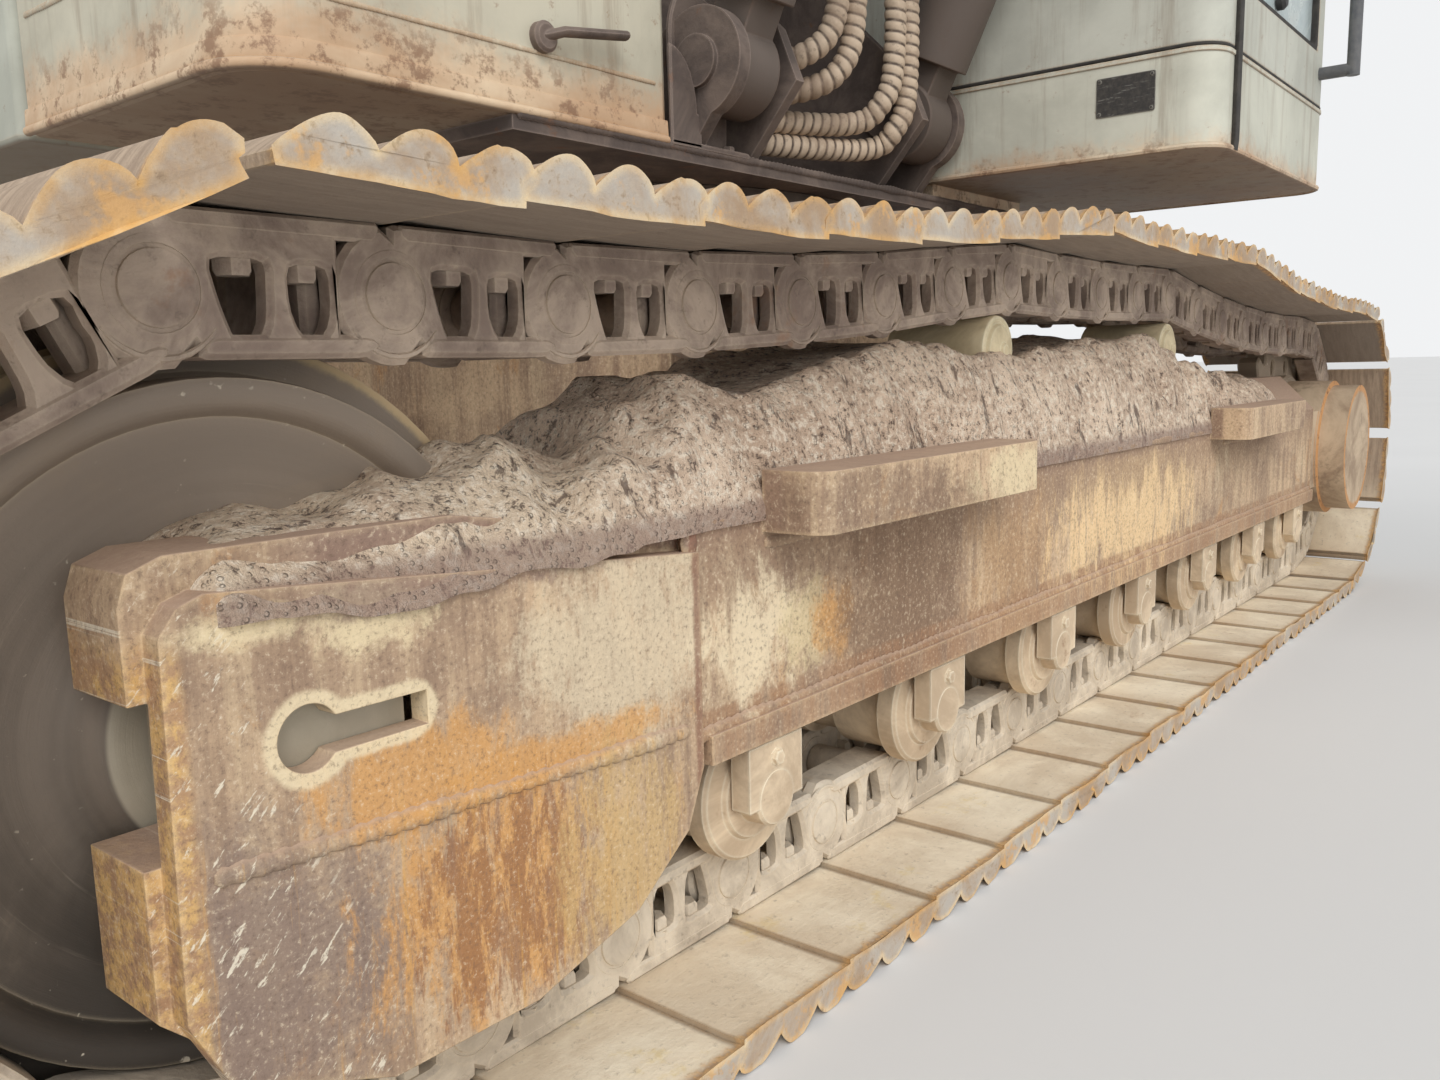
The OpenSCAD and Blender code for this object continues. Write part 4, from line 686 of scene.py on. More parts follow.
# %% Where the pins sit
RUN, PITCH, LINKS, PHASE, PIN_Z = 3.7, 0.216, 45, 0.27, 0.104
IDLER_X, SPROCKET_X, CARRIER_X = -RUN / 2, RUN / 2, RUN * 0.122
IDLER_R, SPROCKET_R, TOP_RISE = 0.368, 21 * PITCH / (4 * np.pi), 0.068
IDLER_Z, SPROCKET_Z = PIN_Z + IDLER_R, PIN_Z + SPROCKET_R
TRACK_Y, SIDES = 1.295, ((-1, "left"), (1, "right"))

def span(x, x0, z0, x1, z1, sag):
    """A straight line between two points less a parabola that hangs sag below its middle."""
    t = (x - x0) / (x1 - x0)
    return z0 + (z1 - z0) * t - 4 * sag * t * (1 - t)

def chain_path(s):
    """Point of the chain at distance s from the foot of the sprocket, by way of the idler."""
    arc1, top = np.pi * IDLER_R, PIN_Z + 2 * IDLER_R
    high = top + TOP_RISE
    a, b = (s - RUN) / IDLER_R, (s - 2 * RUN - arc1) / SPROCKET_R
    x = IDLER_X + s - RUN - arc1
    z = np.where(x < -CARRIER_X, span(x, IDLER_X, top, -CARRIER_X, high, 0.030),
                 np.where(x < CARRIER_X, span(x, -CARRIER_X, high, CARRIER_X, high, 0.008),
                          span(x, CARRIER_X, high, SPROCKET_X, SPROCKET_Z + SPROCKET_R, 0.030)))
    parts = [s < RUN, s < RUN + arc1, s < 2 * RUN + arc1]
    xs = [SPROCKET_X - s, IDLER_X - IDLER_R * np.sin(a), x]
    zs = [np.full_like(s, PIN_Z), IDLER_Z - IDLER_R * np.cos(a), z]
    return np.stack([np.select(parts, xs, SPROCKET_X + SPROCKET_R * np.sin(b)),
                     np.select(parts, zs, SPROCKET_Z + SPROCKET_R * np.cos(b))], 1)

chain_length = 2 * RUN + np.pi * (IDLER_R + SPROCKET_R)
pins = chain_path((np.arange(LINKS) + PHASE) * chain_length / LINKS)
link_way = np.roll(pins, -1, 0) - pins
link_way /= np.linalg.norm(link_way, axis=1)[:, None]
print("chain", round(chain_length, 3), "m,", LINKS, "links")

def on_chain(form, side, across=1.0):
    """A form in link axes (along, outward across the chain, towards the shoe) at every link."""
    flat = lambda a, b: np.stack([a, np.zeros(LINKS), b], 1)
    origins = flat(pins[:, 0], pins[:, 1]) + (0, side * TRACK_Y, 0)
    sideways = np.tile((0, across, 0), (LINKS, 1))
    return copies(form, origins, flat(link_way[:, 0], link_way[:, 1]), sideways,
                  flat(-link_way[:, 1], link_way[:, 0]))

def turned_plate(outline, low, high, edge=0.004, holes=()):
    """A plate whose outline is drawn along and up, with its thickness lying across the chain."""
    p, faces = plate(outline, low, high, edge, holes)
    return np.stack([p[:, 0], p[:, 2], p[:, 1]], 1), faces

def across_lathe(profile, at, count=26):
    """A turned part whose axis lies across the chain, at a point given along and up."""
    return placed(lathe(profile, count), (at[0], 0, at[1]), *to_y(1))

# %% [markdown]
# A forged track link has a big round lobe over its own pin and a thinner tail that lies behind
# the next link's lobe. Its web has two windows, where the nuts of the shoe bolts are reached, a
# thick seat under the shoe and a thick rail that the rollers run on. Each is a closed form.

# %% One link, seen from outside the chain
lobe = np.stack([0.062 * np.cos(np.radians(np.arange(100, 285, 12))),
                 0.062 * np.sin(np.radians(np.arange(100, 285, 12)))], 1)
web_edge = rounded([(0.03, -0.0535), (0.160, -0.0530), (0.162, 0.064), (-0.004, 0.064)], 0.010, 2)
web = np.concatenate([lobe, web_edge])
window_one = rounded([(0.043, 0.027), (0.094, 0.027), (0.091, -0.026), (0.080, -0.043),
                      (0.063, -0.043), (0.052, -0.012)], 0.011, 2)
window_two = rounded([(0.112, 0.024), (0.152, 0.024), (0.152, -0.018), (0.142, -0.039),
                      (0.124, -0.039), (0.113, -0.016)], 0.011, 2)
tail_arc = np.stack([PITCH + 0.052 * np.cos(np.radians(np.arange(-84, 76, 14))),
                     0.052 * np.sin(np.radians(np.arange(-84, 76, 14)))], 1)
tail = np.concatenate([[(0.138, 0.064), (0.138, -0.050)], tail_arc, [(0.226, 0.064)]])
rail = rounded([(0.026, -0.0548), (0.184, -0.0548), (0.203, -0.046), (0.192, -0.034), (0.034, -0.035)],
               0.010, 2)
seat_bar = rounded([(0.006, 0.064), (0.206, 0.064), (0.200, 0.046), (0.012, 0.048)], 0.005, 1)
eye = [(0, 0.050), (0.040, 0.050), (0.044, 0.1095), (0.041, 0.1125), (0.0345, 0.1130), (0.0335, 0.1095),
       (0.0315, 0.1095), (0.0300, 0.1142), (0.0275, 0.1150), (0.012, 0.1138), (0, 0.1134)]
smile = np.linspace(np.radians(214), np.radians(326), 11)
lip_path = np.stack([0.054 * np.cos(smile), np.full(11, 0.1118), 0.054 * np.sin(smile)], 1)
lip = along_path(lip_path, circle(0.003, 6), up=(0, 1, 0),
                 grow=np.sin(np.linspace(0.15, np.pi - 0.15, 11)) ** 0.5)
nut = placed(bolt_head(0.017, 0.020), (0, 0.090, 0.0635), (1, 0, 0), (0, -1, 0), (0, 0, -1))
nut_at = lambda x, h: (nut[0] + (x, 0, -h), nut[1])
link = joined([turned_plate(web, 0.086, 0.112, 0.005, (window_one, window_two)),
               turned_plate(tail, 0.052, 0.084, 0.005), turned_plate(rail, 0.050, 0.1140, 0.005),
               turned_plate(seat_bar, 0.048, 0.1130, 0.003), across_lathe(eye, (0, 0), 28), lip,
               nut_at(0.074, 0.030), nut_at(0.133, 0.034)])
bushing = across_lathe([(0, -0.048), (0.027, -0.048), (0.029, -0.044),
                        (0.029, 0.044), (0.027, 0.048), (0, 0.048)], (0, 0), 24)
print("one link", sum(len(f) for f in link[1]), "faces")

# %% [markdown]
# A shoe is rolled plate with three grousers, cut to length and bolted across two links. Each
# grouser leans: it rises slowly, rounds over and drops, and the last one hangs over the thin lip
# of the next shoe. The section is one closed curve; noise nibbles the ends as wear does.

# %% One shoe and its bolts
def waves(points, scale, seed, octaves=4):
    """Sum of sine waves in random directions, each octave half as high and twice as fine."""
    dice, total = np.random.default_rng(seed), 0
    for octave in range(octaves):
        ways = dice.normal(size=(6, 3))
        ways *= (scale * 2 ** octave / np.linalg.norm(ways, axis=1))[:, None]
        total = total + np.sin(points @ ways.T + dice.uniform(0, 6.28, 6)).sum(-1) / 2.4 / 2 ** octave
    return total

def grouser(u):
    """Height of one grouser from 0 to 1 along its width: the top lies at two thirds."""
    return np.sin(np.pi * np.clip(u, 0, 1) ** 1.45) ** 0.62

LIP, HUMP = 0.0790, 0.0238
p = np.linspace(0.0, 0.222, 58)
crown = LIP + HUMP * (grouser(p / 0.074) + grouser((p - 0.074) / 0.074) + grouser((p - 0.148) / 0.081))
crown[p > 0.19] -= 0.002
nose = np.array([(0.2245, 0.0835), (0.2215, 0.0785), (0.2150, 0.0772), (0.2135, 0.0700)])
belly_p = np.linspace(0.0, 0.2135, 10)
belly = np.stack([belly_p, 0.0642 + 0.006 * (1 - belly_p / 0.2135) ** 2], 1)
section = np.concatenate([belly, nose[::-1], np.stack([p, crown], 1)[p < 0.2195][::-1]])
stations = np.array([-0.300, -0.2985, -0.294, -0.27, -0.20, -0.10, 0.0,
                     0.10, 0.20, 0.27, 0.294, 0.2985, 0.300])
near_end = np.clip((np.abs(stations) - 0.294) / 0.006, 0, 1) ** 2
rings = np.stack([np.stack([q[:, 0], np.full(len(q), y), q[:, 1]], 1) for y, q in
                  zip(stations, [inset(section, -0.0035 * e) for e in near_end])])
shoe = tube(rings)
along = np.tile(np.clip(section[:, 0] / 0.2245, 0, 1), len(stations) * LINKS)
shoe_bolt = lambda x, y: placed(bolt_head(0.0165, 0.013), (x, y, 0.0775))
bolts = joined([shoe_bolt(x, y) for x in (0.016, 0.088) for y in (-0.09, 0.09)])
print("one shoe", sum(len(f) for f in shoe[1]), "faces")

def nibbled(form, side, seed):
    """Moves points near a shoe's two ends in and out by the waves, and bows each shoe a little."""
    points, faces = form
    edge = np.clip((np.abs(points[:, 1] - side * TRACK_Y) - 0.262) / 0.035, 0, 1)
    bite = waves(points, 38, seed) * 0.0016 * edge
    sway = np.abs(waves(points, 14, seed + 1, 3)) * 0.004 * edge
    way = np.sign(points[:, 1] - side * TRACK_Y)
    return points + np.stack([bite, -way * sway, bite * 0.8], 1), faces

def inside(form, low, high):
    """Every point clipped to the node's own box."""
    return np.clip(form[0], low, high), form[1]

for side, word in SIDES:
    low, high = (np.array(c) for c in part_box("track_" + word))
    node, body = "track_" + word, "undercarriage"
    sole = shoe_steel("worn_shoe_steel_" + word, side * TRACK_Y)
    plates = piece("shoes_" + word, inside(nibbled(on_chain(shoe, side), side, 3 + side), low, high), node,
        sole, 34, numbers={"along": along})
    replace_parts(plates, node)
    piece("shoe_bolts_" + word, inside(on_chain(bolts, side), low, high), node, sole, 30)
    for out in (-1, 1):
        rail_word = "outer" if out == side else "inner"
        piece(f"links_{word}_{rail_word}", on_chain(link, side, out), node, link_steel, 38)
    piece("bushings_" + word, on_chain(bushing, side), node, link_steel, 38)

# %% [markdown]
# The idler is a cast wheel with a dished side and a flange that runs between the chain's rails.
# It is a profile turned about the axle. Its forks and sliding blocks sit outside the side face.

# %% Idler wheels and their blocks
def wheel_on_axle(profile, x, y, z, way=1, count=72):
    """A profile turned about an axle that lies across the machine."""
    return placed(lathe(profile, count), (x, y, z), *to_y(way))

half_idler = [(0.326, 0.026), (0.3335, 0.030), (0.3335, 0.030), (0.332, 0.034), (0.3005, 0.0375),
    (0.2962, 0.041), (0.2962, 0.071), (0.2945, 0.0765), (0.290, 0.0780), (0.279, 0.0775), (0.272, 0.0745),
    (0.267, 0.068), (0.262, 0.059), (0.250, 0.0565), (0.180, 0.0535), (0.150, 0.0555), (0.134, 0.064),
    (0.126, 0.076), (0.118, 0.0815), (0.108, 0.083), (0.080, 0.0845), (0.076, 0.0885), (0.0, 0.0890)]
idler_profile = np.array([(r, -y) for r, y in half_idler[::-1]] + half_idler)
for side, word in SIDES:
    y = side * TRACK_Y
    scored = wheel_steel("scored_idler_" + word, IDLER_X, IDLER_Z, hub=0.121, rim=0.324)
    wheel = wheel_on_axle(idler_profile, IDLER_X, y, IDLER_Z)
    blocks = [box((IDLER_X - 0.09, y + f * 0.134 - 0.044, IDLER_Z - 0.0617),
                  (IDLER_X + 0.09, y + f * 0.134 + 0.044, IDLER_Z + 0.0617), 0.006) for f in (-1, 1)]
    made = piece("idler_wheel_" + word, [wheel] + blocks, "idler_" + word, scored, 32)
    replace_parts(made, "idler_" + word)

# %% [markdown]
# The sprocket is a toothed ring: its outline is a circle with a bite for every second bushing.
# One formula gives the radius at every angle, so the ring is a plate with a wavy outline.

# %% Sprockets
TEETH = 21
first = int(np.ceil((2 * RUN + np.pi * IDLER_R) / (chain_length / LINKS) - PHASE))
first_angle = ((first + PHASE) * chain_length / LINKS - 2 * RUN - np.pi * IDLER_R) / SPROCKET_R
angle = around(TEETH * 14)
tooth_phase = (angle - (np.pi / 2 - first_angle)) * TEETH
radius = 0.3845 - 0.054 * np.clip(0.5 + 0.9 * np.cos(tooth_phase), 0, 1) ** 0.8
teeth_outline = np.stack([radius * np.cos(angle), radius * np.sin(angle)], 1)
spokes = [circle(0.026, 10, (0.272 * np.cos(a), 0.272 * np.sin(a))) for a in around(10)]
for side, word in SIDES:
    turning = wheel_steel("scored_sprocket_" + word, SPROCKET_X, SPROCKET_Z, (0.16, 0.125, 0.09))
    ring = placed(plate(teeth_outline, -0.032, 0.032, 0.006, spokes),
                  (SPROCKET_X, side * TRACK_Y, SPROCKET_Z), *to_y(-1))
    hub = wheel_on_axle([(0, 0.028), (0.222, 0.028), (0.234, 0.034), (0.234, 0.062), (0.226, 0.0695),
                         (0, 0.07)], SPROCKET_X, side * TRACK_Y, SPROCKET_Z, side)
    made = piece("sprocket_ring_" + word, [ring, hub], "sprocket_" + word, turning, 32)
    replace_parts(made, "sprocket_" + word)

# %% [markdown]
# The final drive is a round steel cover with a thick rim, bolted on in a ring. Mud has gone from
# its face and the rim has rusted orange. The turned profile carries the rim, step and hub plug.

# %% Final drives
def drive_steel(name, x, z):
    """Washed brown steel with a ring of rust between two radii."""
    s = Sheet(name)
    dx, dz = s.axis("X") - x, s.axis("Z") - z
    out = (dx * dx + dz * dz).root()
    broad, fine = s.noise(4, 6, 0.7, warp=0.6), s.noise(42, 5, 0.7)
    s.lay(broad.step(0.36, 0.62), (0.36, 0.255, 0.17), (0.62, 0.48, 0.33))
    s.lay(s.noise(11, 6, 0.72, shift=(1, 2, 3)).step(0.56, 0.68) * 0.5, (0.20, 0.14, 0.10))
    rim = (out + fine * 0.03).step(0.190, 0.202) * out.step(0.226, 0.212) * abs(s.facing("Y")).step(0.3, 0.8)
    s.lay(rim * 0.8, (0.60, 0.28, 0.09))
    s.lay(rim * fine.step(0.55, 0.68) * 0.9, (0.13, 0.06, 0.03))
    return s.done(rough=0.86, bumps=[(fine, 0.6, 0.004), (broad, 0.2, 0.012)])

cover = [(0, 0.2765), (0.034, 0.2765), (0.040, 0.272), (0.046, 0.262), (0.118, 0.2625), (0.160, 0.268),
    (0.178, 0.272), (0.192, 0.2705), (0.1985, 0.264), (0.1995, 0.252), (0.1995, 0.204), (0.2145, 0.199),
    (0.2148, 0.075), (0.206, 0.070), (0, 0.070)][::-1]
for side, word in SIDES:
    node = "final_drive_" + word
    tan = drive_steel("drive_cover_steel_" + word, SPROCKET_X, SPROCKET_Z)
    made = softened(node, tan, 0.008)
    cover_skin = wheel_on_axle(cover, SPROCKET_X, side * TRACK_Y, SPROCKET_Z, side)
    piece("drive_cover_" + word, cover_skin, node, tan, 32)
    cover_bolts = [placed(bolt_head(0.012, 0.008), (SPROCKET_X + 0.142 * np.cos(a),
                          side * (TRACK_Y + 0.2665), SPROCKET_Z + 0.142 * np.sin(a)), *to_y(side))
                   for a in around(14)]
    piece("drive_cover_bolts_" + word, cover_bolts, node, tan, 30)

# %% [markdown]
# Bottom rollers have two treads and four flanges on one shaft, and a cap at each end.
# Carrier rollers hold the top run up; their domed grease caps face the camera.
# Both are turned profiles, placed along the frame.

# %% Rollers and carrier rollers
roller_z = PIN_Z + 0.055 + 0.077 + 0.0003
half_roller = [(0.063, 0.031), (0.0762, 0.035), (0.0768, 0.040), (0.0768, 0.112), (0.080, 0.1215),
    (0.0905, 0.126), (0.0908, 0.152), (0.086, 0.157), (0.062, 0.160), (0.058, 0.166), (0.038, 0.168),
    (0.037, 0.196), (0.034, 0.1998), (0, 0.200)]
roller_profile = np.array([(r, -y) for r, y in half_roller[::-1]] + half_roller)
carrier_z = (np.array(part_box("rollers_left")[1])[2]) - 0.062
cap = [(0, 0.124), (0.010, 0.1238), (0.014, 0.119), (0.034, 0.117), (0.043, 0.1135), (0.047, 0.107),
    (0.052, 0.1055), (0.056, 0.108), (0.0595, 0.107), (0.0615, 0.101), (0.0615, -0.080), (0.056, -0.084),
    (0, -0.085)][::-1]
for side, word in SIDES:
    node, y = "rollers_" + word, side * TRACK_Y
    forms = []
    for x in np.linspace(-1.24, 1.45, 7):
        forms.append(wheel_on_axle(roller_profile, x, y, roller_z, 1, 44))
        for f in (-1, 1):
            forms.append(box((x - 0.055, y + f * 0.185 - 0.014, roller_z - 0.010),
                             (x + 0.055, y + f * 0.185 + 0.014, 0.3138), 0.004))
            forms.append(placed(bolt_head(0.010, 0.008), (x, y + f * 0.1985, roller_z + 0.052), *to_y(f)))
    tread_steel = grimy_steel("roller_steel_" + word, (0.52, 0.39, 0.26), (0.86, 0.69, 0.48), 0.8)
    made = piece("bottom_rollers_" + word, forms, node, tread_steel, 34)
    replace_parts(made, node)
    caps = joined([wheel_on_axle(cap, x, y + side * 0.005, carrier_z, side, 44)
                   for x in (-CARRIER_X, CARRIER_X)])
    cap_steel = grimy_steel("carrier_cap_steel_" + word, (0.52, 0.42, 0.25), (0.84, 0.72, 0.48), 0.9)
    piece("carrier_rollers_" + word, caps, node, cap_steel, 34)

# %% [markdown]
# The track frame keeps the shape of its node: box section, idler guard with its keyhole, steps.
# What a drawing leaves out is the welding. A bead is a half-round section carried along the seam,
# swelling and shrinking in ripples, so it reads as metal that was laid down by hand.

# %% Track frames and their weld seams
def bead(path, r=0.006, up=(0, -1, 0), seed=1):
    """Weld bead: an oval section along the path whose size ripples every few millimetres."""
    path = np.asarray(path, float)
    length = np.linalg.norm(np.diff(path, axis=0), axis=1).sum()
    n = max(8, int(length / (r * 0.8)))
    t = np.linspace(0, 1, n)
    spread = np.concatenate([[0], np.cumsum(np.linalg.norm(np.diff(path, axis=0), axis=1))]) / length
    line = np.stack([np.interp(t, spread, path[:, k]) for k in range(3)], 1)
    ripple = 1 + 0.14 * np.sin(np.arange(n) * 2.1) + 0.12 * waves(line, 60, seed, 2)
    ripple[[0, -1]] *= 0.5
    return along_path(line, circle(r, 8) * (1.3, 0.75), up, ripple)

for side, word in SIDES:
    node = "track_frame_" + word
    softened(node, frame_steel, 0.006)
    face, wall, foot = side * 1.4995, side * (TRACK_Y + 0.1945), side * (TRACK_Y + 0.196)
    seams = [bead([(-1.953, face, 0.397), (-1.409, face, 0.368)], 0.007, seed=2),
             bead([(-1.390, wall, 0.350), (-1.391, wall, 0.596)], 0.008, seed=3),
             bead([(-1.385, foot, 0.351), (1.59, foot, 0.351)], 0.007, seed=4),
             bead([(-1.37, wall, 0.594), (-1.26, wall, 0.594)], 0.006, seed=5),
             bead([(-0.61, wall, 0.590), (0.63, wall, 0.590)], 0.006, seed=6),
             bead([(-1.252, wall, 0.556), (-0.618, wall, 0.556)], 0.006, seed=7),
             bead([(0.638, wall, 0.556), (1.212, wall, 0.556)], 0.006, seed=8)]
    piece("frame_seams_" + word, seams, node, frame_steel, 50)

# %% [markdown]
# Mud lies along the frame in a long heap: a smooth sandy slope over the idler guard, then a
# steeper cracked bank. Over the guard it laps down across the edge of the plate. Its height is a
# ridge line along the frame times a cross profile, plus waves of many sizes.

# %% Mud heaps
def chain_clear(x):
    """Height 25 mm below the rails of the top run at each place along it."""
    order = pins[:, 1] > IDLER_Z + 0.2
    at, z = pins[order, 0], pins[order, 1]
    k = np.argsort(at)
    return np.interp(x, at[k], z[k]) - 0.055 - 0.025

def mud_heap(side, seed):
    """Ridge height times a cross profile that falls as a power, plus waves; closed underneath."""
    n, m = 520, 66
    x = np.linspace(-1.965, 1.44, n)[:, None]
    t = np.linspace(-1, 1, m)[None, :]
    d = np.sign(t) * (1 - (1 - np.abs(t)) ** 1.5)
    ridge = np.interp(x, [-1.965, -1.86, -1.65, -1.42, -1.30, -0.86, -0.52, -0.38,
                          -0.09, 0.3, 0.48, 0.7, 1.0, 1.3, 1.44],
                      [0.622, 0.665, 0.675, 0.70, 0.775, 0.835, 0.80, 0.79,
                       0.852, 0.84, 0.77, 0.75, 0.70, 0.66, 0.61])
    inner = np.interp(x, [-1.965, -1.74, -1.65, -1.55, -1.30, -1.2], [0.62, 0.66, 0.75, 0.80, 0.80, 0.70])
    over_guard = np.interp(x, [-1.965, -1.95, -1.41, -1.385], [0, 1, 1, 0])
    spread = np.interp(x, [-1.965, -1.93, -1.41, -1.38, 1.2, 1.44],
                       [0.150, 0.2095, 0.2095, 0.1995, 0.1975, 0.14])
    place = np.stack(np.broadcast_arrays(x, d * 0.2 * side, ridge), -1)
    big, small = waves(place, 11, seed, 4), waves(place, 60, seed + 1, 3)
    lumps = 1 - np.abs(waves(place, 34, seed + 2, 3))
    rough = np.interp(x, [-1.9, -1.5, -1.1], [0.35, 0.8, 1.1])
    shoulder = 1 - np.abs(d) ** np.where(d * side > 0, 4.0, 3.0)
    hem = 0.600 - over_guard * (0.016 + 0.010 * waves(place, 26, seed + 3, 3))
    height = hem + (ridge - 0.60) * shoulder
    height = height + (big * 0.014 + lumps * 0.014 + small * 0.004) * rough * np.clip(shoulder * 3, 0.1, 1)
    trough = np.exp(-(np.abs(d) / 0.62) ** 6)
    top = np.minimum(np.maximum(ridge - 0.045, inner) + 0.014 * big, chain_clear(x))
    height = np.minimum(height * (1 - trough) + np.minimum(height, top) * trough, 0.868)
    y = side * TRACK_Y + d * spread + 0.0025 * lumps * np.sign(d) * np.abs(d) ** 3
    upper = np.stack(np.broadcast_arrays(x, y, height), -1)
    lower = upper.copy()
    lower[..., 2] = np.minimum(0.585, upper[..., 2] - 0.004)
    rings = np.concatenate([upper, lower[:, ::-1]], 1)
    rings[[0, -1]] = rings[[0, -1]].mean(1, keepdims=True) * 0.2 + rings[[0, -1]] * 0.8
    return tube(rings)

for side, word in SIDES:
    heap = mud_heap(side, 20 + side)
    piece("mud_heap_" + word, heap, "track_frame_" + word, mud, 60)

# %% [markdown]
# Everything above the slew ring turns with the house. Its steel sheets are folded, so their edges
# are round; each node keeps its own shape and gets its triangles joined and its edges broken.
# One table gives each node its finish and the radius its edges were folded or cast with.

# %% Carried-over steel, softened
ring_grease = grimy_steel("slew_ring_grease", (0.07, 0.056, 0.048), (0.19, 0.145, 0.11), 0.5)
engine_grime = grimy_steel("engine_grime", (0.06, 0.058, 0.056), (0.15, 0.125, 0.10), 0.6)
cast_iron = faded_paint("chipped_counterweight_paint", paint=(0.38, 0.385, 0.325), wear=1.3)
bucket_steel = grimy_steel("scoured_bucket_steel", (0.27, 0.205, 0.145), (0.42, 0.33, 0.23), 0.6)
cylinder_paint = faded_paint("cylinder_paint", paint=(0.26, 0.26, 0.225), wear=1.3, dark_below=2.2)
link_paint = grimy_steel("oily_link_steel", (0.15, 0.13, 0.105), (0.32, 0.26, 0.19), 0.5)
cab_paint = faded_paint("faded_cab_paint", paint=(0.46, 0.46, 0.395), wear=0.8)
base_paint = faded_paint("cab_base_paint", paint=(0.52, 0.515, 0.43), rust_below=1.265)
rail_paint = plain_grain("rail_paint", (0.10, 0.105, 0.115), (0.19, 0.185, 0.18), rough=0.5)
for node, look, edge in (("car_body", body_steel, 0.010), ("slew_ring", ring_grease, 0.003),
    ("revolving_frame", bracket_steel, 0.005), ("deck_box", deck_paint, 0.014),
    ("deck_box_lid", house_paint, 0.007), ("tanks", house_paint, 0.014),
    ("side_box_left", house_paint, 0.008), ("side_box_right", house_paint, 0.008),
    ("side_door_left", house_paint, 0.007), ("side_door_right", house_paint, 0.007),
    ("engine_block", engine_grime, 0.012), ("engine_hood", house_paint, 0.014),
    ("counterweight", cast_iron, 0.035), ("cab_base", base_paint, 0.014), ("cab_shell", cab_paint, 0.010),
    ("cab_door", cab_paint, 0.007), ("handrails", rail_paint, 0.003), ("boom", boom_paint, 0.007),
    ("arm", boom_paint, 0.007), ("bucket", bucket_steel, 0.006), ("bucket_rocker", link_paint, 0.006),
    ("bucket_link", link_paint, 0.006), ("boom_cylinder_barrels", cylinder_paint, 0.005),
    ("arm_cylinder_barrel", cylinder_paint, 0.005), ("bucket_cylinder_barrel", cylinder_paint, 0.005),
    ("boom_cylinder_rods", chrome, 0.003), ("arm_cylinder_rod", chrome, 0.003),
    ("bucket_cylinder_rod", chrome, 0.003)):
    softened(node, look, edge)

# %% [markdown]
# The box on the deck is folded sheet. Along its lower edge the sheet is rolled round, and the
# roll has rusted through the paint. A roll is a small round section carried along the plan of
# the box, which turns a wide corner at the front.

# %% Deck box: rolled edge, lid lip, latches and lever
def corner_path(a, corner, b, r, n=10):
    """Straight, quarter turn, straight: three points in plan joined by an arc of radius r."""
    a, corner, b = (np.array(q, float) for q in (a, corner, b))
    u, v = (a - corner) / np.linalg.norm(a - corner), (b - corner) / np.linalg.norm(b - corner)
    t = np.linspace(0, np.pi / 2, n)[:, None]
    arc = corner + r * (u + v) - r * (v * np.cos(t) + u * np.sin(t))
    return np.concatenate([np.linspace(a, arc[0], 8)[:-1], arc, np.linspace(arc[-1], b, 8)[1:]])

def level(path, z):
    """A path in plan, laid at one height."""
    return np.c_[path, np.full(len(path), z)]

plan = corner_path((-1.4685, -0.065), (-1.4685, -0.7935), (-0.610, -0.7935), 0.12)
inner_plan = corner_path((-1.462, -0.065), (-1.462, -0.787), (-0.610, -0.787), 0.114)
roll = along_path(level(plan, 1.2005), circle(0.0085, 10), grow=1 + 0.03 * np.sin(np.arange(len(plan))))
fold = along_path(level(inner_plan, 1.2215),
    rounded([(-0.004, -0.016), (0.010, -0.016), (0.0085, 0.016), (-0.004, 0.016)], 0.004, 2))
seal = along_path(level(plan, 1.6402),
    rounded([(-0.005, -0.004), (0.003, -0.004), (0.003, 0.004), (-0.005, 0.004)], 0.002, 1))
piece("deck_box_roll", [roll, fold], "deck_box", deck_paint)
piece("deck_box_seal", seal, "deck_box", black_rubber)
seams = [bead([(-1.4685, -0.10, 1.385), (-1.4685, -0.24, 1.383), (-1.4685, -0.66, 1.380)],
              0.0035, (1, 0, 0), 11),
         bead([(-1.34, -0.7935, 1.30), (-0.64, -0.7935, 1.30)], 0.0030, (0, 1, 0), 12)]
piece("deck_box_seams", seams, "deck_box", deck_paint, 50)

def latch(at, out=(0, -1, 0), along=(1, 0, 0)):
    """A recessed paddle latch: dished cup, paddle and keyhole boss, drawn facing its out axis."""
    cup = plate(slab(0.055, 0.035, 0.012, 3), 0.0, 0.006, 0.002)
    paddle = plate(rounded([(-0.040, -0.024), (0.032, -0.024), (0.032, 0.024), (-0.040, 0.024)], 0.008, 3),
                   0.005, 0.013, 0.003)
    key = placed(lathe([(0, 0.0), (0.009, 0.0), (0.009, 0.014), (0.006, 0.016), (0, 0.016)], 16),
                 (0.044, 0, 0.002))
    return placed(joined([cup, paddle, key]), at, along, tuple(np.cross(out, along)), out)

latches = [latch((x, -0.7935, 1.655)) for x in (-1.22, -0.86)]
piece("deck_box_latches", latches, "deck_box_lid", black_plastic, 35)
lever_line = [(-0.93, -0.800, 1.325), (-0.90, -0.822, 1.335), (-0.82, -0.826, 1.346), (-0.752, -0.824, 1.357)]
lever_hub = lathe([(0, 0), (0.026, 0), (0.026, 0.014), (0.020, 0.019), (0, 0.019)], 24)
lever = joined([along_path(lever_line, circle(0.011, 12) * (1.2, 0.8), (0, 0, 1)),
                placed(lever_hub, (-0.928, -0.7925, 1.325), *to_y(-1))])
piece("deck_box_lever", lever, "deck_box", bracket_steel)

# %% [markdown]
# Between the box and the boom's bracket stand two thin plates, one with a curved top.
# They are flat outlines with a thickness; a fold along the foot carries the bolts.

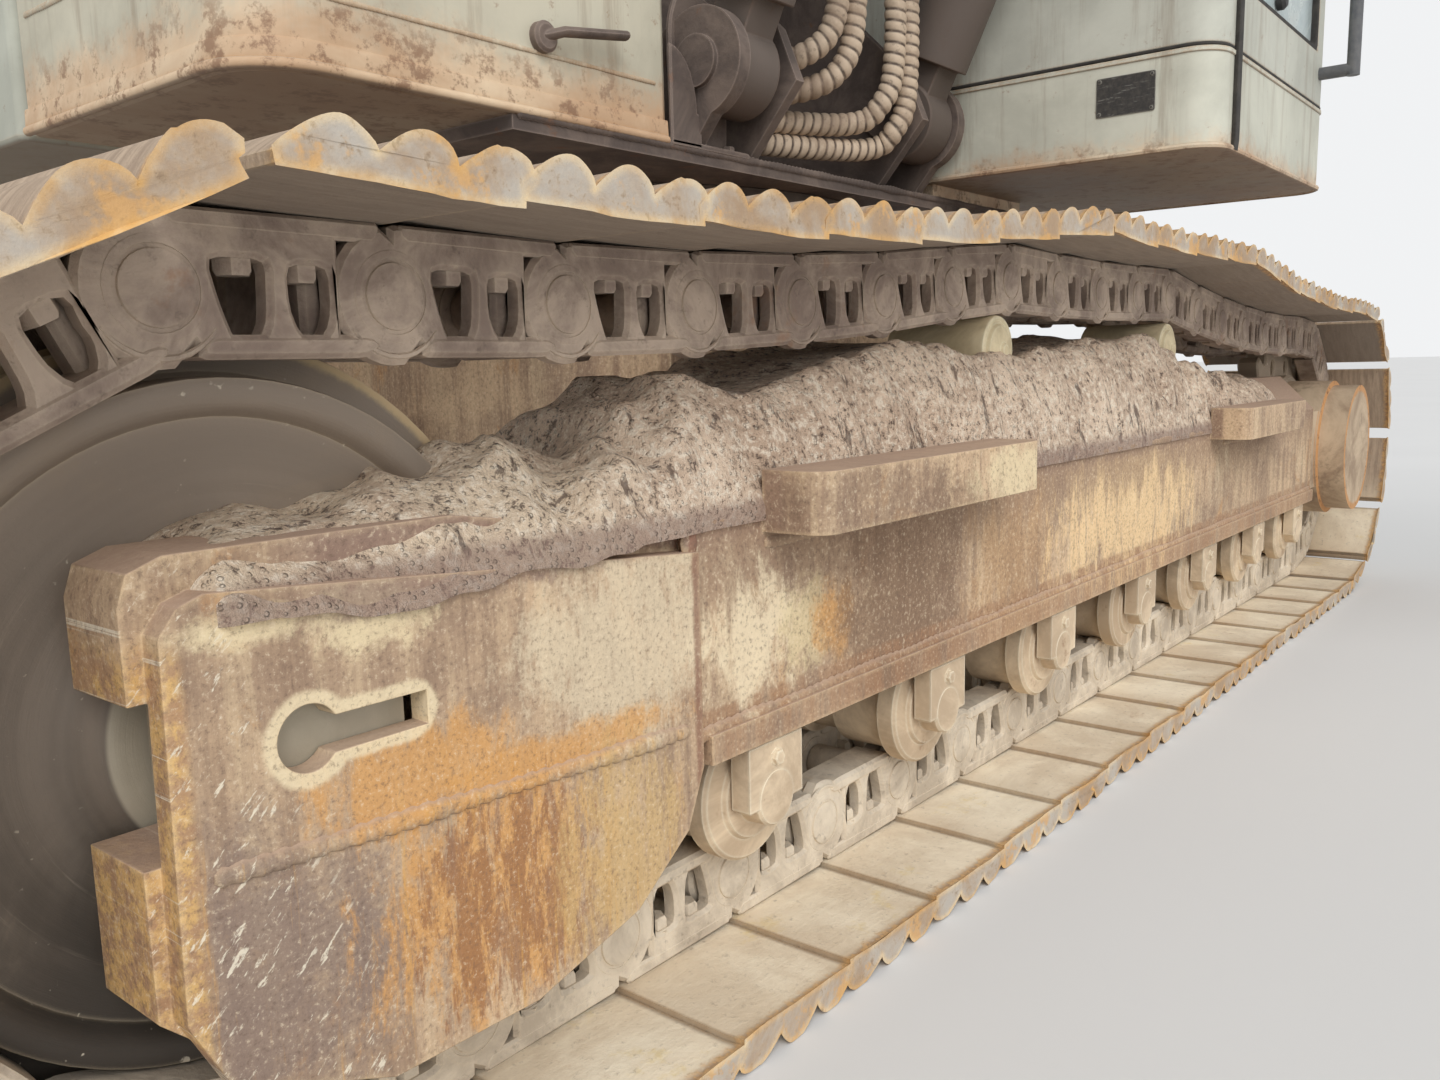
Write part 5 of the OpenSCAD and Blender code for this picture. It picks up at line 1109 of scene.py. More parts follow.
# %% Plates beside the boom bracket
def facing_plate(outline, front, thick, edge=0.003, holes=()):
    """A plate whose outline is given in x and z; it stands with its face towards -Y at front."""
    p, faces = plate(outline, 0, thick, edge, holes)
    return np.stack([p[:, 0], front + thick - p[:, 2], p[:, 1]], 1), faces

curve = np.linspace(0, np.pi / 2, 8)
plate_a = np.concatenate([[(-0.602, 1.196), (-0.512, 1.196), (-0.512, 1.26)],
                          np.stack([-0.602 + 0.078 * np.cos(curve), 1.262 + 0.118 * np.sin(curve)], 1)])
plate_b = rounded([(-0.535, 1.196), (-0.36, 1.196), (-0.352, 1.43),
                   (-0.41, 1.512), (-0.505, 1.512), (-0.535, 1.45)], 0.03, 4)
foot_fold = box((-0.60, -0.80, 1.1925), (-0.36, -0.70, 1.206), 0.003)
fold_bolts = [placed(bolt_head(0.013, 0.011), (x, -0.776, 1.206)) for x in (-0.58, -0.49, -0.40)]
piece("bracket_side_plates",
      [facing_plate(plate_a, -0.800, 0.010),
       facing_plate(plate_b, -0.742, 0.014, 0.004, (circle(0.026, 16, (-0.452, 1.42)),)),
       foot_fold, *fold_bolts], "revolving_frame", bracket_steel)
lip_seams = joined([bead([(-0.335, -0.772, 1.196), (-0.335, -0.40, 1.196)], 0.007, (1, 0, 0), 15),
                    bead([(0.215, -0.772, 1.196), (0.215, -0.40, 1.196)], 0.007, (1, 0, 0), 16),
                    bead([(-0.99, -0.7945, 1.1935), (0.99, -0.7945, 1.1935)], 0.006, (0, 1, 0), 17)])
piece("deck_seams", lip_seams, "revolving_frame", bracket_steel, 50)

# %% [markdown]
# Four hoses rise from the well to the boom. Each is wrapped in a spiral guard of cream plastic,
# whose turns stand up like beads. The tube's radius is its distance along and its angle put
# through one wave, so the turns are a real helix, and the wave is kept as a number that darkens the grooves.

# %% Boom hoses in spiral wrap
def smooth_line(corners, step=0.0045):
    """Catmull-Rom cubic through the corners, then points at even distances along it."""
    c = np.asarray(corners, float)
    before, after = np.vstack([c[:1], c[:-1]]), np.vstack([c[1:], c[-1:]])
    beyond = np.vstack([c[2:], c[-1:], c[-1:]])
    t = np.linspace(0, 1, 40, endpoint=False)[None, :, None]
    a, b, d, e = (q[:-1, None] for q in (before, c, after, beyond))
    square, cubic = 2 * a - 5 * b + 4 * d - e, 3 * b - a - 3 * d + e
    line = 0.5 * (2 * b + (d - a) * t + square * t ** 2 + cubic * t ** 3)
    line = np.vstack([line.reshape(-1, 3), c[-1:]])
    s = np.concatenate([[0], np.cumsum(np.linalg.norm(np.diff(line, axis=0), axis=1))])
    even = np.linspace(0, s[-1], int(s[-1] / step) + 1)
    return np.stack([np.interp(even, s, line[:, k]) for k in range(3)], 1), s[-1]

def wrapped_hose(line, r, turn, sides=20, raised=0.0042):
    """Radius r plus a rounded step that climbs one turn of the helix per turn length."""
    n = len(line)
    way = np.gradient(line, axis=0)
    way /= np.linalg.norm(way, axis=1)[:, None]
    side = np.cross(way, (0.13, 1, 0.07))
    side /= np.linalg.norm(side, axis=1)[:, None]
    rise = np.cross(side, way)
    a = around(sides)
    s = np.concatenate([[0], np.cumsum(np.linalg.norm(np.diff(line, axis=0), axis=1))])
    wave = np.abs(np.sin(np.pi * (s[:, None] / turn - a[None] / (2 * np.pi)))) ** 0.7
    radius = r - raised + raised * wave
    out = side[:, None] * np.cos(a)[:, None] + rise[:, None] * np.sin(a)[:, None]
    rings = line[:, None] + radius[..., None] * out
    return tube(rings), wave.ravel()

def wrap_plastic(name):
    """Cream turns, dark in the grooves between them, by the wave kept on the hose."""
    s = Sheet(name)
    groove = s.number("wave")
    fine, broad = s.noise(70, 5, 0.7), s.noise(7, 5, 0.7)
    s.lay(groove.step(0.25, 0.75), (0.10, 0.07, 0.052), (0.62, 0.49, 0.36))
    s.lay(broad.step(0.42, 0.64) * 0.7, (0.33, 0.235, 0.165))
    s.lay(fine.step(0.56, 0.7) * 0.5, (0.10, 0.075, 0.055))
    return s.done(rough=0.55 + broad * 0.25, bumps=[(fine, 0.3, 0.002)])

wrap = wrap_plastic("grimy_spiral_wrap")
hose_x, TOP_Y, TOP_Z = (-0.135, -0.075, 0.095, 0.155), -0.85, 2.170
HOSE_R, TURN, VALVE_X, VALVE_Y = 0.026, 0.024, -0.307, -0.68
valve_z = [1.262 + 0.05 * (3 - h) for h in range(4)]
for h, (x, z) in enumerate(zip(hose_x, valve_z)):
    corners = [(VALVE_X, VALVE_Y, z), (-0.272, VALVE_Y, z), (-0.237, VALVE_Y, z),
               (x - 0.07, -0.80, z + 0.008), (x - 0.02, -0.86, z + 0.055), (x, -0.88, z + 0.15),
               (x, -0.88, 1.70), (x, TOP_Y, 1.98), (x, TOP_Y, 2.12), (x, TOP_Y, TOP_Z)]
    line, length = smooth_line(corners)
    form, wave = wrapped_hose(line, HOSE_R, TURN)
    hose = piece(f"boom_hose_{h + 1}", form, "boom_hoses", wrap, 60, numbers={"wave": wave},
                 body=("house", "boom", (-0.06, -0.86, 1.50), (-0.06, -0.85, 2.10)))
    if h == 0:
        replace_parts(hose, "boom_hoses")
    [tuple(q) for q in line[::6]] + [tuple(line[-1])]
collar = lathe([(0, 0), (0.034, 0), (0.034, 0.022), (0.030, 0.030), (0.030, 0.046), (0, 0.048)], 6)
collars = [placed(collar, (VALVE_X, VALVE_Y, z), *to_x(1)) for z in valve_z]
piece("hose_collars_house", collars, "revolving_frame", bracket_steel, 30)
top = lathe([(0, -0.045), (0.030, -0.045), (0.034, -0.030), (0.034, 0.004), (0, 0.004)], 6)
tops = [placed(top, (x, TOP_Y, TOP_Z)) for x in hose_x]
piece("hose_collars_boom", tops, "boom", bracket_steel, 30)

# %% [markdown]
# The cab stands on a box whose lower edge is folded under. Its inner side carries a small blank
# plate, and a black rubber strip runs down the front corner over the joint of the sheets.

# %% Cab base: fold, blank plate and corner strip
cab_plan_path = np.concatenate([corner_path((0.4345, 0.30), (0.4345, -1.5075), (0.95, -1.5075), 0.08)[:-1],
                                corner_path((0.95, -1.5075), (1.4685, -1.5075), (1.4685, 0.30), 0.08)])
lower = along_path(level(cab_plan_path, 1.2385), circle(0.0075, 8))
crease = along_path(level(cab_plan_path, 1.4475),
    rounded([(-0.004, -0.006), (0.003, -0.006), (0.003, 0.006), (-0.004, 0.006)], 0.002, 1))
piece("cab_base_fold", [lower, crease], "cab_base", base_paint)
gasket = along_path(level(cab_plan_path * 0.9975 + (0.0024, -0.0006), 1.4582), circle(0.0042, 8))
piece("cab_floor_gasket", gasket, "cab_base", black_rubber, 60)

def plate_enamel(name):
    """Dark enamel scratched across."""
    s = Sheet(name)
    fine = s.noise(90, 4, 0.7)
    worn = s.noise(1.0, 5, 0.8, size=(20, 20, 140)).step(0.56, 0.66)
    s.lay(fine.step(0.4, 0.7) * 0.6, (0.045, 0.042, 0.04), (0.10, 0.09, 0.075))
    s.lay(worn * 0.45, (0.36, 0.35, 0.31))
    s.lay(s.worn_edge(0.003) * 0.8, (0.46, 0.44, 0.38))
    return s.done(rough=0.5, bumps=[(fine, 0.2, 0.001)])

blank = box((-0.069, -0.0445, 0), (0.069, 0.0445, 0.0022), 0.0007, 0.006)
rivet = lathe([(0, 0), (0.0042, 0), (0.0036, 0.0022), (0, 0.003)], 12)
rivets = [placed(rivet, (sx * 0.061, sy * 0.037, 0.0018)) for sx in (-1, 1) for sy in (-1, 1)]
blank_form = placed(joined([blank] + rivets), (0.4350, -1.298, 1.3725), (0, -1, 0), (0, 0, 1), (-1, 0, 0))
piece("blank_plate", blank_form, "cab_base", plate_enamel("blank_plate_enamel"))
strip_line = [(0.553, -1.509, 1.236), (0.553, -1.5115, 1.26), (0.553, -1.5115, 3.00), (0.553, -1.509, 3.03)]
strip_section = rounded([(-0.017, -0.006), (0.017, -0.006), (0.014, 0.006), (-0.014, 0.006)], 0.004, 3)
strip = along_path(strip_line, strip_section, (0, 1, 0))
piece("cab_corner_strip", strip, "cab_shell", black_rubber)

# %% [markdown]
# A cab window is a pane held in a rubber channel. The channel is a small section carried round
# a rounded rectangle; the pane is the frame's own node with a clear, faintly green, dusty finish.

# %% Windows and their rubber
def loop_of(path, section, up):
    """A section carried round a closed path, joined to itself at the end."""
    path = np.asarray(path, float)
    way = np.roll(path, -1, 0) - np.roll(path, 1, 0)
    way /= np.linalg.norm(way, axis=1)[:, None]
    up = np.broadcast_to(np.asarray(up, float), path.shape)
    side = np.cross(way, up)
    side /= np.linalg.norm(side, axis=1)[:, None]
    rings = path[:, None] + side[:, None] * section[:, :1] + up[:, None] * section[:, 1:]
    return rings.reshape(-1, 3), [grid_faces(len(path), len(section), True, True)]

def window_ring(low, high, depth, plane, r=0.05, thick=0.013, deep=0.020):
    """Rubber round a window given by two corners in its plane; plane names the axis it faces."""
    (a0, b0), (a1, b1) = low, high
    q = rounded([(a0, b0), (a1, b0), (a1, b1), (a0, b1)], r, 5)
    section = slab(thick, deep, 0.005, 2)
    if plane == "x":
        return loop_of(np.c_[np.full(len(q), depth), q], section, (1, 0, 0))
    if plane == "y":
        return loop_of(np.stack([q[:, 0], np.full(len(q), depth), q[:, 1]], 1), section, (0, 1, 0))
    return loop_of(np.c_[q, np.full(len(q), depth)], section, (0, 0, 1))

def dusty_glass(name, tint=(0.80, 0.93, 0.94)):
    """Clear glass whose dust takes away clearness and shine."""
    s = Sheet(name)
    dust = s.noise(3.5, 6, 0.7, warp=0.6).step(0.42, 0.7)
    speck = s.noise(90, 3, 0.7).step(0.6, 0.72)
    s.lay(dust * 0.6 + speck * 0.3, tint, (0.64, 0.62, 0.55))
    return s.done(rough=0.06 + dust * 0.35, alpha=(0.55 + dust * 0.30).least(0.9), IOR=1.45,
                  Specular_IOR_Level=0.6)

glass = dusty_glass("dusty_cab_glass")
for node in ("cab_glass", "cab_door_glass"):
    frame["nodes"][node].data.materials.clear()
    frame["nodes"][node].data.materials.append(glass)
rings = [window_ring((-1.357, 1.76), (0.120, 2.93), 0.457, "x"),
         window_ring((0.595, 1.95), (1.308, 2.93), 0.338, "y"),
         window_ring((0.565, 1.60), (1.338, 2.93), -1.485, "y"),
         window_ring((0.685, -0.90), (1.218, -0.30), 3.060, "z")]
piece("cab_window_rubber", rings, "cab_shell", black_rubber, 50)
door_ring = window_ring((-1.02, 1.80), (-0.11, 2.90), 1.4865, "x", 0.06)
piece("cab_door_rubber", door_ring, "cab_door", black_rubber, 50)
print("cab glazed")

# %% [markdown]
# Small cab fittings are what make it read as a place to work: a wiper on the front pane, lamps
# on the roof, mirrors on bent arms, a door pull and ribs. Each is a few turned or swept forms.

# %% Cab fittings
def rod(points, r=0.009, sides=10, up=(0.1, 0.2, 1)):
    """A circle carried along a path."""
    return along_path(np.asarray(points, float), circle(r, sides), up)

wiper_arm = [(0.95, -1.500, 1.655), (0.952, -1.516, 1.668), (1.03, -1.519, 1.95), (1.10, -1.514, 2.20)]
wiper_hub = lathe([(0, 0), (0.022, 0), (0.022, 0.014), (0.015, 0.022), (0, 0.022)], 20)
wiper = joined([rod(wiper_arm, 0.006, 8, (0, 1, 0.1)),
                box((1.094, -1.513, 1.98), (1.106, -1.500, 2.60), 0.003),
                placed(wiper_hub, (0.95, -1.492, 1.65), *to_y(-1))])
piece("front_wiper", wiper, "cab_shell", black_plastic)

def work_lamp(at, out=(0, -1, 0)):
    """Round lamp: a drum, a lens that bulges in its rim, and a bracket under it."""
    drum = lathe([(0, -0.055), (0.030, -0.055), (0.058, -0.030), (0.066, 0.010),
                  (0.066, 0.024), (0.060, 0.026), (0.057, 0.018), (0, 0.016)], 28)
    lens = lathe([(0, 0.010), (0.054, 0.012), (0.050, 0.018), (0.030, 0.024), (0, 0.0265)], 28)
    side = np.cross((0, 0, 1), out)
    foot = box((at[0] - 0.022, at[1] - 0.018, at[2] - 0.115),
               (at[0] + 0.022, at[1] + 0.018, at[2] - 0.045), 0.004)
    return joined([placed(drum, at, side, (0, 0, 1), out), foot]), placed(lens, at, side, (0, 0, 1), out)

lamps = [work_lamp((x, -1.34, 3.185)) for x in (0.58, 1.32)]
piece("roof_lamps", [a for a, b in lamps], "cab_shell", black_plastic)
piece("roof_lamp_lenses", [b for a, b in lamps], "cab_shell", lamp_glass, 60)

def mirror(at, arm, out=(0, 0.94, -0.34)):
    """A rounded shell on a bent arm; its glass faces the operator, turned by the out line."""
    outline = slab(0.09, 0.15, 0.045, 5)
    side = np.cross((0, 0, 1), out) / np.linalg.norm(np.cross((0, 0, 1), out))
    high = np.cross(out, side)
    shell = placed(plate(outline, -0.028, 0.0, 0.014), at, side, high, out)
    glass_face = placed(plate(inset(outline, 0.008), -0.001, 0.002, 0.0008), at, side, high, out)
    return joined([shell, rod(arm, 0.011)]), glass_face

mirrors = [mirror((1.56, -1.50, 2.42), [(1.452, -1.46, 2.72), (1.52, -1.50, 2.715),
                                        (1.56, -1.515, 2.66), (1.56, -1.515, 2.56)]),
           mirror((-1.40, -0.80, 2.32), [(-1.40, -0.755, 1.70), (-1.40, -0.81, 1.74),
                                         (-1.40, -0.82, 1.90), (-1.40, -0.815, 2.18)])]
piece("mirror_shells", [a for a, b in mirrors], "cab_shell", black_plastic)
silver = plain_grain("silvered_glass", (0.72, 0.74, 0.75), (0.6, 0.62, 0.63),
                     rough=0.07, metal=1.0, scale=14, bump=0.02)
piece("mirror_glass", [b for a, b in mirrors], "cab_shell", silver, 60)
pull_line = [(1.512, -1.065, 1.88), (1.540, -1.065, 1.90), (1.540, -1.065, 2.02), (1.512, -1.065, 2.04)]
pull = joined([box((1.5055, -1.085, 1.86), (1.519, -1.045, 2.06), 0.004, 0.006),
               rod(pull_line, 0.008, 10, (0, 1, 0))])
piece("cab_door_pull", pull, "cab_door", black_plastic)
ribs = [box((1.5045, -1.08, z), (1.5105, -0.06, z + 0.012), 0.003) for z in (1.56, 1.70)]
piece("cab_door_ribs", ribs, "cab_door", cab_paint)
roof_ribs = [box((0.60 + 0.16 * k, 0.02 - 0.22, 3.0745), (0.68 + 0.16 * k, 0.30, 3.0845), 0.004)
    for k in range(5)]
piece("cab_roof_ribs", roof_ribs, "cab_shell", cab_paint)

# %% [markdown]
# The seat is foam under cloth: a cushion that is crowned, pulled in at its seams and flat only
# underneath. A superellipsoid gives that form in one formula, and a second one, leaned back,
# makes the back. The levers and arm boxes beside it are hard plastic.

# %% Operator's seat
def cushion(middle, half, tilt=0.0, corner=0.32, n=40, m=24):
    """Superellipsoid: cosines and sines of two angles raised to a small power, then dished."""
    u = np.linspace(-np.pi, np.pi, n, endpoint=False)[None]
    v = np.linspace(-np.pi / 2, np.pi / 2, m)[1:-1, None]
    power = lambda w, e: np.sign(w) * np.abs(w) ** e
    waist = power(np.cos(v), corner)
    x, y = waist * power(np.cos(u), corner), waist * power(np.sin(u), corner)
    z = power(np.sin(v), 0.62) * (1 + 0 * u)
    z = z * (1 - 0.10 * (x ** 2 + y ** 2)) + 0.05 * np.exp(-((np.abs(x) - 0.55) / 0.05) ** 2) * -np.sign(z)
    p = np.stack(np.broadcast_arrays(x, y, z), -1) * half
    c, s = np.cos(tilt), np.sin(tilt)
    p = np.stack([p[..., 0], p[..., 1] * c - p[..., 2] * s, p[..., 1] * s + p[..., 2] * c], -1) + middle
    poles = p.mean(1)[[0, -1]]
    points, faces = tube(p, caps=False)
    k, last, j = len(points), (m - 3) * n, np.arange(n)
    return np.vstack([points, poles]), faces + [np.stack([np.full(n, k), (j + 1) % n, j], 1),
        np.stack([np.full(n, k + 1), last + j, last + (j + 1) % n], 1)]

def seat_cloth(name):
    """Two crossed sine waves make the weave, and dust lies on it."""
    s = Sheet(name)
    weave = (s.axis("X") * 900.0).sine() * (s.axis("Y") * 900.0 + s.axis("Z") * 900.0).sine()
    broad, dust = s.noise(6, 5, 0.6), s.noise(14, 6, 0.7, shift=(1, 2, 3)).step(0.5, 0.7)
    s.lay(weave * 0.5 + 0.5, (0.035, 0.036, 0.04), (0.07, 0.07, 0.075))
    s.lay(dust * 0.45, (0.23, 0.20, 0.16))
    return s.done(rough=0.9, bumps=[(weave, 0.3, 0.0008), (broad, 0.2, 0.006)])

cloth = seat_cloth("dusty_seat_cloth")
seat_x = 0.9515
squab_form = cushion((seat_x, -0.44, 1.868), (0.245, 0.232, 0.062))
squab = piece("seat_cushion", squab_form, "operator_seat", cloth, 60)
back_form = cushion((seat_x, -0.168, 2.205), (0.232, 0.055, 0.300), tilt=-0.21)
back = piece("seat_back", back_form, "operator_seat", cloth, 60)
arms = [box((seat_x + f * 0.33 - 0.058, -0.755, 1.508), (seat_x + f * 0.33 + 0.058, -0.285, 2.024),
            0.016, 0.03) for f in (-1, 1)]
folds = [(0.045 - 0.003 * k + 0.006 * (k % 2), 0.006 * k) for k in range(1, 10)]
bellows = [placed(lathe([(0, 0), (0.05, 0)] + folds + [(0, 0.056)], 20), (seat_x + f * 0.33, -0.70, 2.022))
           for f in (-1, 1)]
sticks = [rod([(seat_x + f * 0.33, -0.70, 2.05), (seat_x + f * 0.33, -0.70, 2.10)], 0.008, 10, (0, 1, 0))
          for f in (-1, 1)]
knob = lathe([(0, 0), (0.010, 0), (0.017, 0.014), (0.019, 0.032), (0.014, 0.048), (0, 0.053)], 20)
knobs = [placed(knob, (seat_x + f * 0.33, -0.70, 2.088)) for f in (-1, 1)]
pleats = [(0.150 - 0.012 * (k % 2), 0.03 + 0.022 * k) for k in range(12)]
post = lathe([(0, 0), (0.168, 0), (0.168, 0.02)] + pleats + [(0.12, 0.298), (0, 0.299)], 36)
rest_forms = arms + bellows + sticks + knobs + [placed(post, (seat_x, -0.42, 1.5065))]
rest = piece("seat_arms_and_post", rest_forms, "operator_seat", black_plastic)
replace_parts(rest, "operator_seat")
print("seat in place")

# %% [markdown]
# The side doors and the hood let air through pressed louvres. One louvre is a low hood that
# shrinks to nothing at both ends; a row of them is the same form copied.

# %% Louvres, latches and grilles
def louvres(count, width, pitch, rise=0.014):
    """Hooded slots: each is a swept quarter-round closed at both ends by shrinking its section."""
    t = np.linspace(-1, 1, 15)
    grow = (1 - np.abs(t) ** 8) * 0.98 + 0.02
    line = np.stack([t * width / 2, np.zeros(15), np.zeros(15)], 1)
    hood = np.array([(-pitch * 0.36, 0.0), (-pitch * 0.30, rise * 0.55), (0.0, rise * 0.95),
                     (pitch * 0.30, rise), (pitch * 0.30, 0.0)])
    one = along_path(line, hood, (0, 0, 1), grow)
    ys = (np.arange(count) - (count - 1) / 2) * pitch
    return copies(one, np.stack([0 * ys, ys, 0 * ys], 1), np.tile((1, 0, 0), (count, 1)),
        np.tile((0, 1, 0), (count, 1)), np.tile((0, 0, 1), (count, 1)))

for side, word in ((1, "left"), (-1, "right")):
    node, x = "side_door_" + word, side * 1.4963
    middles = ((0.86, 0.62), (1.74, 0.62)) if word == "left" else ((1.79, 0.56),)
    rows = [placed(louvres(9, w, 0.052), (x, y, 1.86), *out_x(side)) for y, w in middles]
    rows += [placed(louvres(6, w, 0.052), (x, y, 1.42), *out_x(side)) for y, w in middles]
    piece("door_louvres_" + word, rows, node, house_paint)
    hand = [latch((x, y, 1.62), (side, 0, 0), (0, side, 0)) for y, w in middles]
    piece("door_latches_" + word, hand, node, black_plastic, 35)
hood_slats = [placed(louvres(11, 0.46, 0.050), (x, 1.80, 2.5605), (0, 1, 0), (-1, 0, 0), (0, 0, 1))
    for x in (-0.42, 0.42)]
piece("hood_louvres", hood_slats, "engine_hood", house_paint)
hood_latches = [latch((x, 2.2505, 2.29), (0, 1, 0), (1, 0, 0)) for x in (-0.6, 0.6)]
piece("hood_latches", hood_latches, "engine_hood", black_plastic, 35)

# %% [markdown]
# The engine is seen only when the hood is up: two rocker covers, a row of fins, a fan at one
# side and the intake pipe. They stand on the block's own node, so plain forms are enough.

# %% Engine
covers = [box((x - 0.075, 1.45, 2.10), (x + 0.075, 2.05, 2.155), 0.012, 0.02) for x in (-0.18, 0.02)]
fins = [box((-0.40, y, 2.075), (-0.285, y + 0.012, 2.146), 0.003) for y in np.arange(1.46, 2.04, 0.045)]
a = np.linspace(0, 2 * np.pi, 8)[:-1]
blade = plate(rounded([(0.06, -0.03), (0.29, -0.055), (0.31, 0.02), (0.06, 0.03)], 0.02, 3),
              -0.004, 0.004, 0.002)
fan = [placed(blade, (0.56, 1.75, 1.76), (0, np.cos(t), np.sin(t)),
              (0.45, -np.sin(t) * 0.89, np.cos(t) * 0.89), (0.89, 0.45 * np.sin(t), -0.45 * np.cos(t)))
       for t in a]
hub = placed(lathe([(0, -0.03), (0.07, -0.03), (0.075, 0.0), (0.06, 0.03), (0, 0.035)], 24),
             (0.56, 1.75, 1.76), *to_x(1))
intake_line = [(-0.30, 1.50, 2.08), (-0.36, 1.47, 2.12), (-0.46, 1.50, 2.115), (-0.50, 1.66, 2.10),
               (-0.50, 1.88, 2.09)]
intake = rod(smooth_line(intake_line, 0.02)[0], 0.036, 18)
piece("engine_details", covers + fins + fan + [hub, intake], "engine_block", engine_grime)

# %% [markdown]
# The exhaust is the rustiest thing up here. Its pipe ends in a slanted cut and stands on a flange
# with a clamp band. Rings of points make the pipe; the last ones tilt, and go down inside it.

# %% Exhaust
def scaled_rust(name):
    """Flaking rust, sooty towards the mouth."""
    s = Sheet(name)
    broad, fine = s.noise(6, 6, 0.7, warp=0.6), s.noise(46, 5, 0.75)
    s.lay(broad.step(0.35, 0.65), (0.115, 0.05, 0.028), (0.27, 0.12, 0.05))
    s.lay(fine.step(0.5, 0.66) * 0.7, (0.06, 0.035, 0.028))
    s.lay(s.axis("Z").step(2.50, 2.72) * 0.8, (0.035, 0.03, 0.028))
    return s.done(rough=0.92, bumps=[(fine, 0.8, 0.004)])

rusty = scaled_rust("scaled_exhaust_rust")
STACK_X, STACK_Y, theta = 1.15, 1.90, around(40)
heights = np.array([2.22, 2.225, 2.26, 2.265, 2.285, 2.29, 2.60, 2.66])
radii = np.array([0.0615, 0.066, 0.066, 0.0615, 0.0605, 0.060, 0.060, 0.060])
outer = np.stack([STACK_X + radii[:, None] * np.cos(theta), STACK_Y + radii[:, None] * np.sin(theta),
                  np.repeat(heights[:, None], 40, 1)], -1)
mouth = lambda z, r: np.stack([STACK_X + r * np.cos(theta), STACK_Y + r * np.sin(theta),
                               z + 0.55 * r * np.sin(theta)], -1)
stack_rings = np.concatenate([outer, [mouth(2.665, 0.0605), mouth(2.667, 0.058),
                                      mouth(2.655, 0.0545), mouth(2.50, 0.0545)]])
base = placed(lathe([(0, 0.0), (0.094, 0.0), (0.0945, 0.018), (0.088, 0.024),
                     (0.070, 0.030), (0.066, 0.0395), (0, 0.0398)], 40), (STACK_X, STACK_Y, 2.1803))
base_bolts = [placed(bolt_head(0.010, 0.009), (STACK_X + 0.079 * np.cos(t),
                                              STACK_Y + 0.079 * np.sin(t), 2.2045)) for t in around(6)]
stack = piece("exhaust_pipe", [tube(stack_rings), base] + base_bolts, "exhaust_stack", rusty)
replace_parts(stack, "exhaust_stack")

# %% [markdown]
# The tank has two filler caps with ribbed rims; the deck beside them is anti-slip plate.
# A tread bar is a small raised lozenge, copied over a grid and leaned one way, then the other.

# %% Tank caps, anti-slip plates and counterweight trim
def filler(at):
    """Rings whose radius goes in and out from point to point, drawn in towards the top."""
    n = 48
    rim = 0.066 + 0.003 * (np.arange(n) % 2)
    ways = np.stack([np.cos(around(n)), np.sin(around(n))], 1)
    levels = ((1.0, 0.0), (1.0, 0.032), (0.93, 0.040), (0.35, 0.042), (0.33, 0.048), (0.02, 0.049))
    rings = np.stack([np.c_[rim[:, None] * ways * k, np.full(n, z)] for k, z in levels])
    return placed(tube(rings), at)

piece("tank_caps", [filler((-1.0, 0.30, 2.329)), filler((-1.0, 0.96, 2.329))], "tanks", black_plastic)

def treads(low, high, z, step=0.045):
    """Lozenges that lie crosswise in turn over a rectangle, each tapered to its ends and top."""
    nx, ny = int((high[0] - low[0]) / step), int((high[1] - low[1]) / step)
    i, j = (g.ravel() for g in np.meshgrid(np.arange(nx), np.arange(ny)))
    at = np.stack([low[0] + (i + 0.7) * step, low[1] + (j + 0.7) * step, np.full(len(i), z)], 1)
    lean = np.where((i + j) % 2, 1.0, -1.0) * np.pi / 4
    c, s, o = np.cos(lean), np.sin(lean), np.zeros(len(lean))
    outline = np.array([(-0.019, 0), (-0.009, -0.0045), (0.009, -0.0045),
                        (0.019, 0), (0.009, 0.0045), (-0.009, 0.0045)])
    lozenge = tube(np.stack([np.c_[outline, np.full(6, 0.0)], np.c_[outline * 0.62, np.full(6, 0.0028)]]))
    return copies(lozenge, at, np.stack([c, s, o], 1), np.stack([-s, c, o], 1),
        np.tile((0, 0, 1.0), (len(lean), 1)))

walk = joined([treads((-1.42, 0.72), (-0.68, 1.28), 2.2795), treads((-1.40, 0.02), (-0.70, 0.56), 2.2395),
               treads((0.66, 0.45), (1.42, 1.78), 2.1795)])
piece("anti_slip_bars", walk, "tanks", house_paint)

def arc(z, r, f, n=30):
    """Part of a level circle round the swing centre, at the back."""
    t = f * np.linspace(0.082, 0.440, n)
    return np.stack([r * np.sin(t), r * np.cos(t), np.full(n, z)], 1)

strip_section = slab(0.004, 0.012, 0.003, 2)
groove = joined([along_path(arc(1.55, 3.3505, f), strip_section) for f in (-1, 1)]
                + [bead(arc(1.95, 3.3495, f), 0.005, (0, 0, 1), 31) for f in (-1, 1)])
piece("counterweight_trim", groove, "counterweight", cast_iron)
tail = [work_lamp((x, 3.312, 1.40), (0, 1, 0)) for x in (-0.62, 0.62)]
piece("tail_lamps", [a for a, b in tail], "counterweight", black_plastic)
red_lens = plain_grain("red_lamp_lens", (0.42, 0.03, 0.025), (0.30, 0.02, 0.02), rough=0.18, scale=60)
piece("tail_lamp_lenses", [b for a, b in tail], "counterweight", red_lens, 60)
rail_foot = lathe([(0, 0), (0.032, 0), (0.032, 0.006), (0.020, 0.010), (0, 0.011)], 20)
rail_feet = [placed(rail_foot, (-1.408, y, z)) for y, z in ((1.25, 2.28), (0.70, 2.28), (0.06, 2.24))]
piece("handrail_feet", rail_feet, "handrails", rail_paint)

# %% [markdown]
# The boom and the arm are boxes of thick plate. Their corners are welded all along, and steel
# pipes are clamped on top of them. Points are given in the boom's own side view, forward and up,
# and turned into place by the angle at which it is parked.

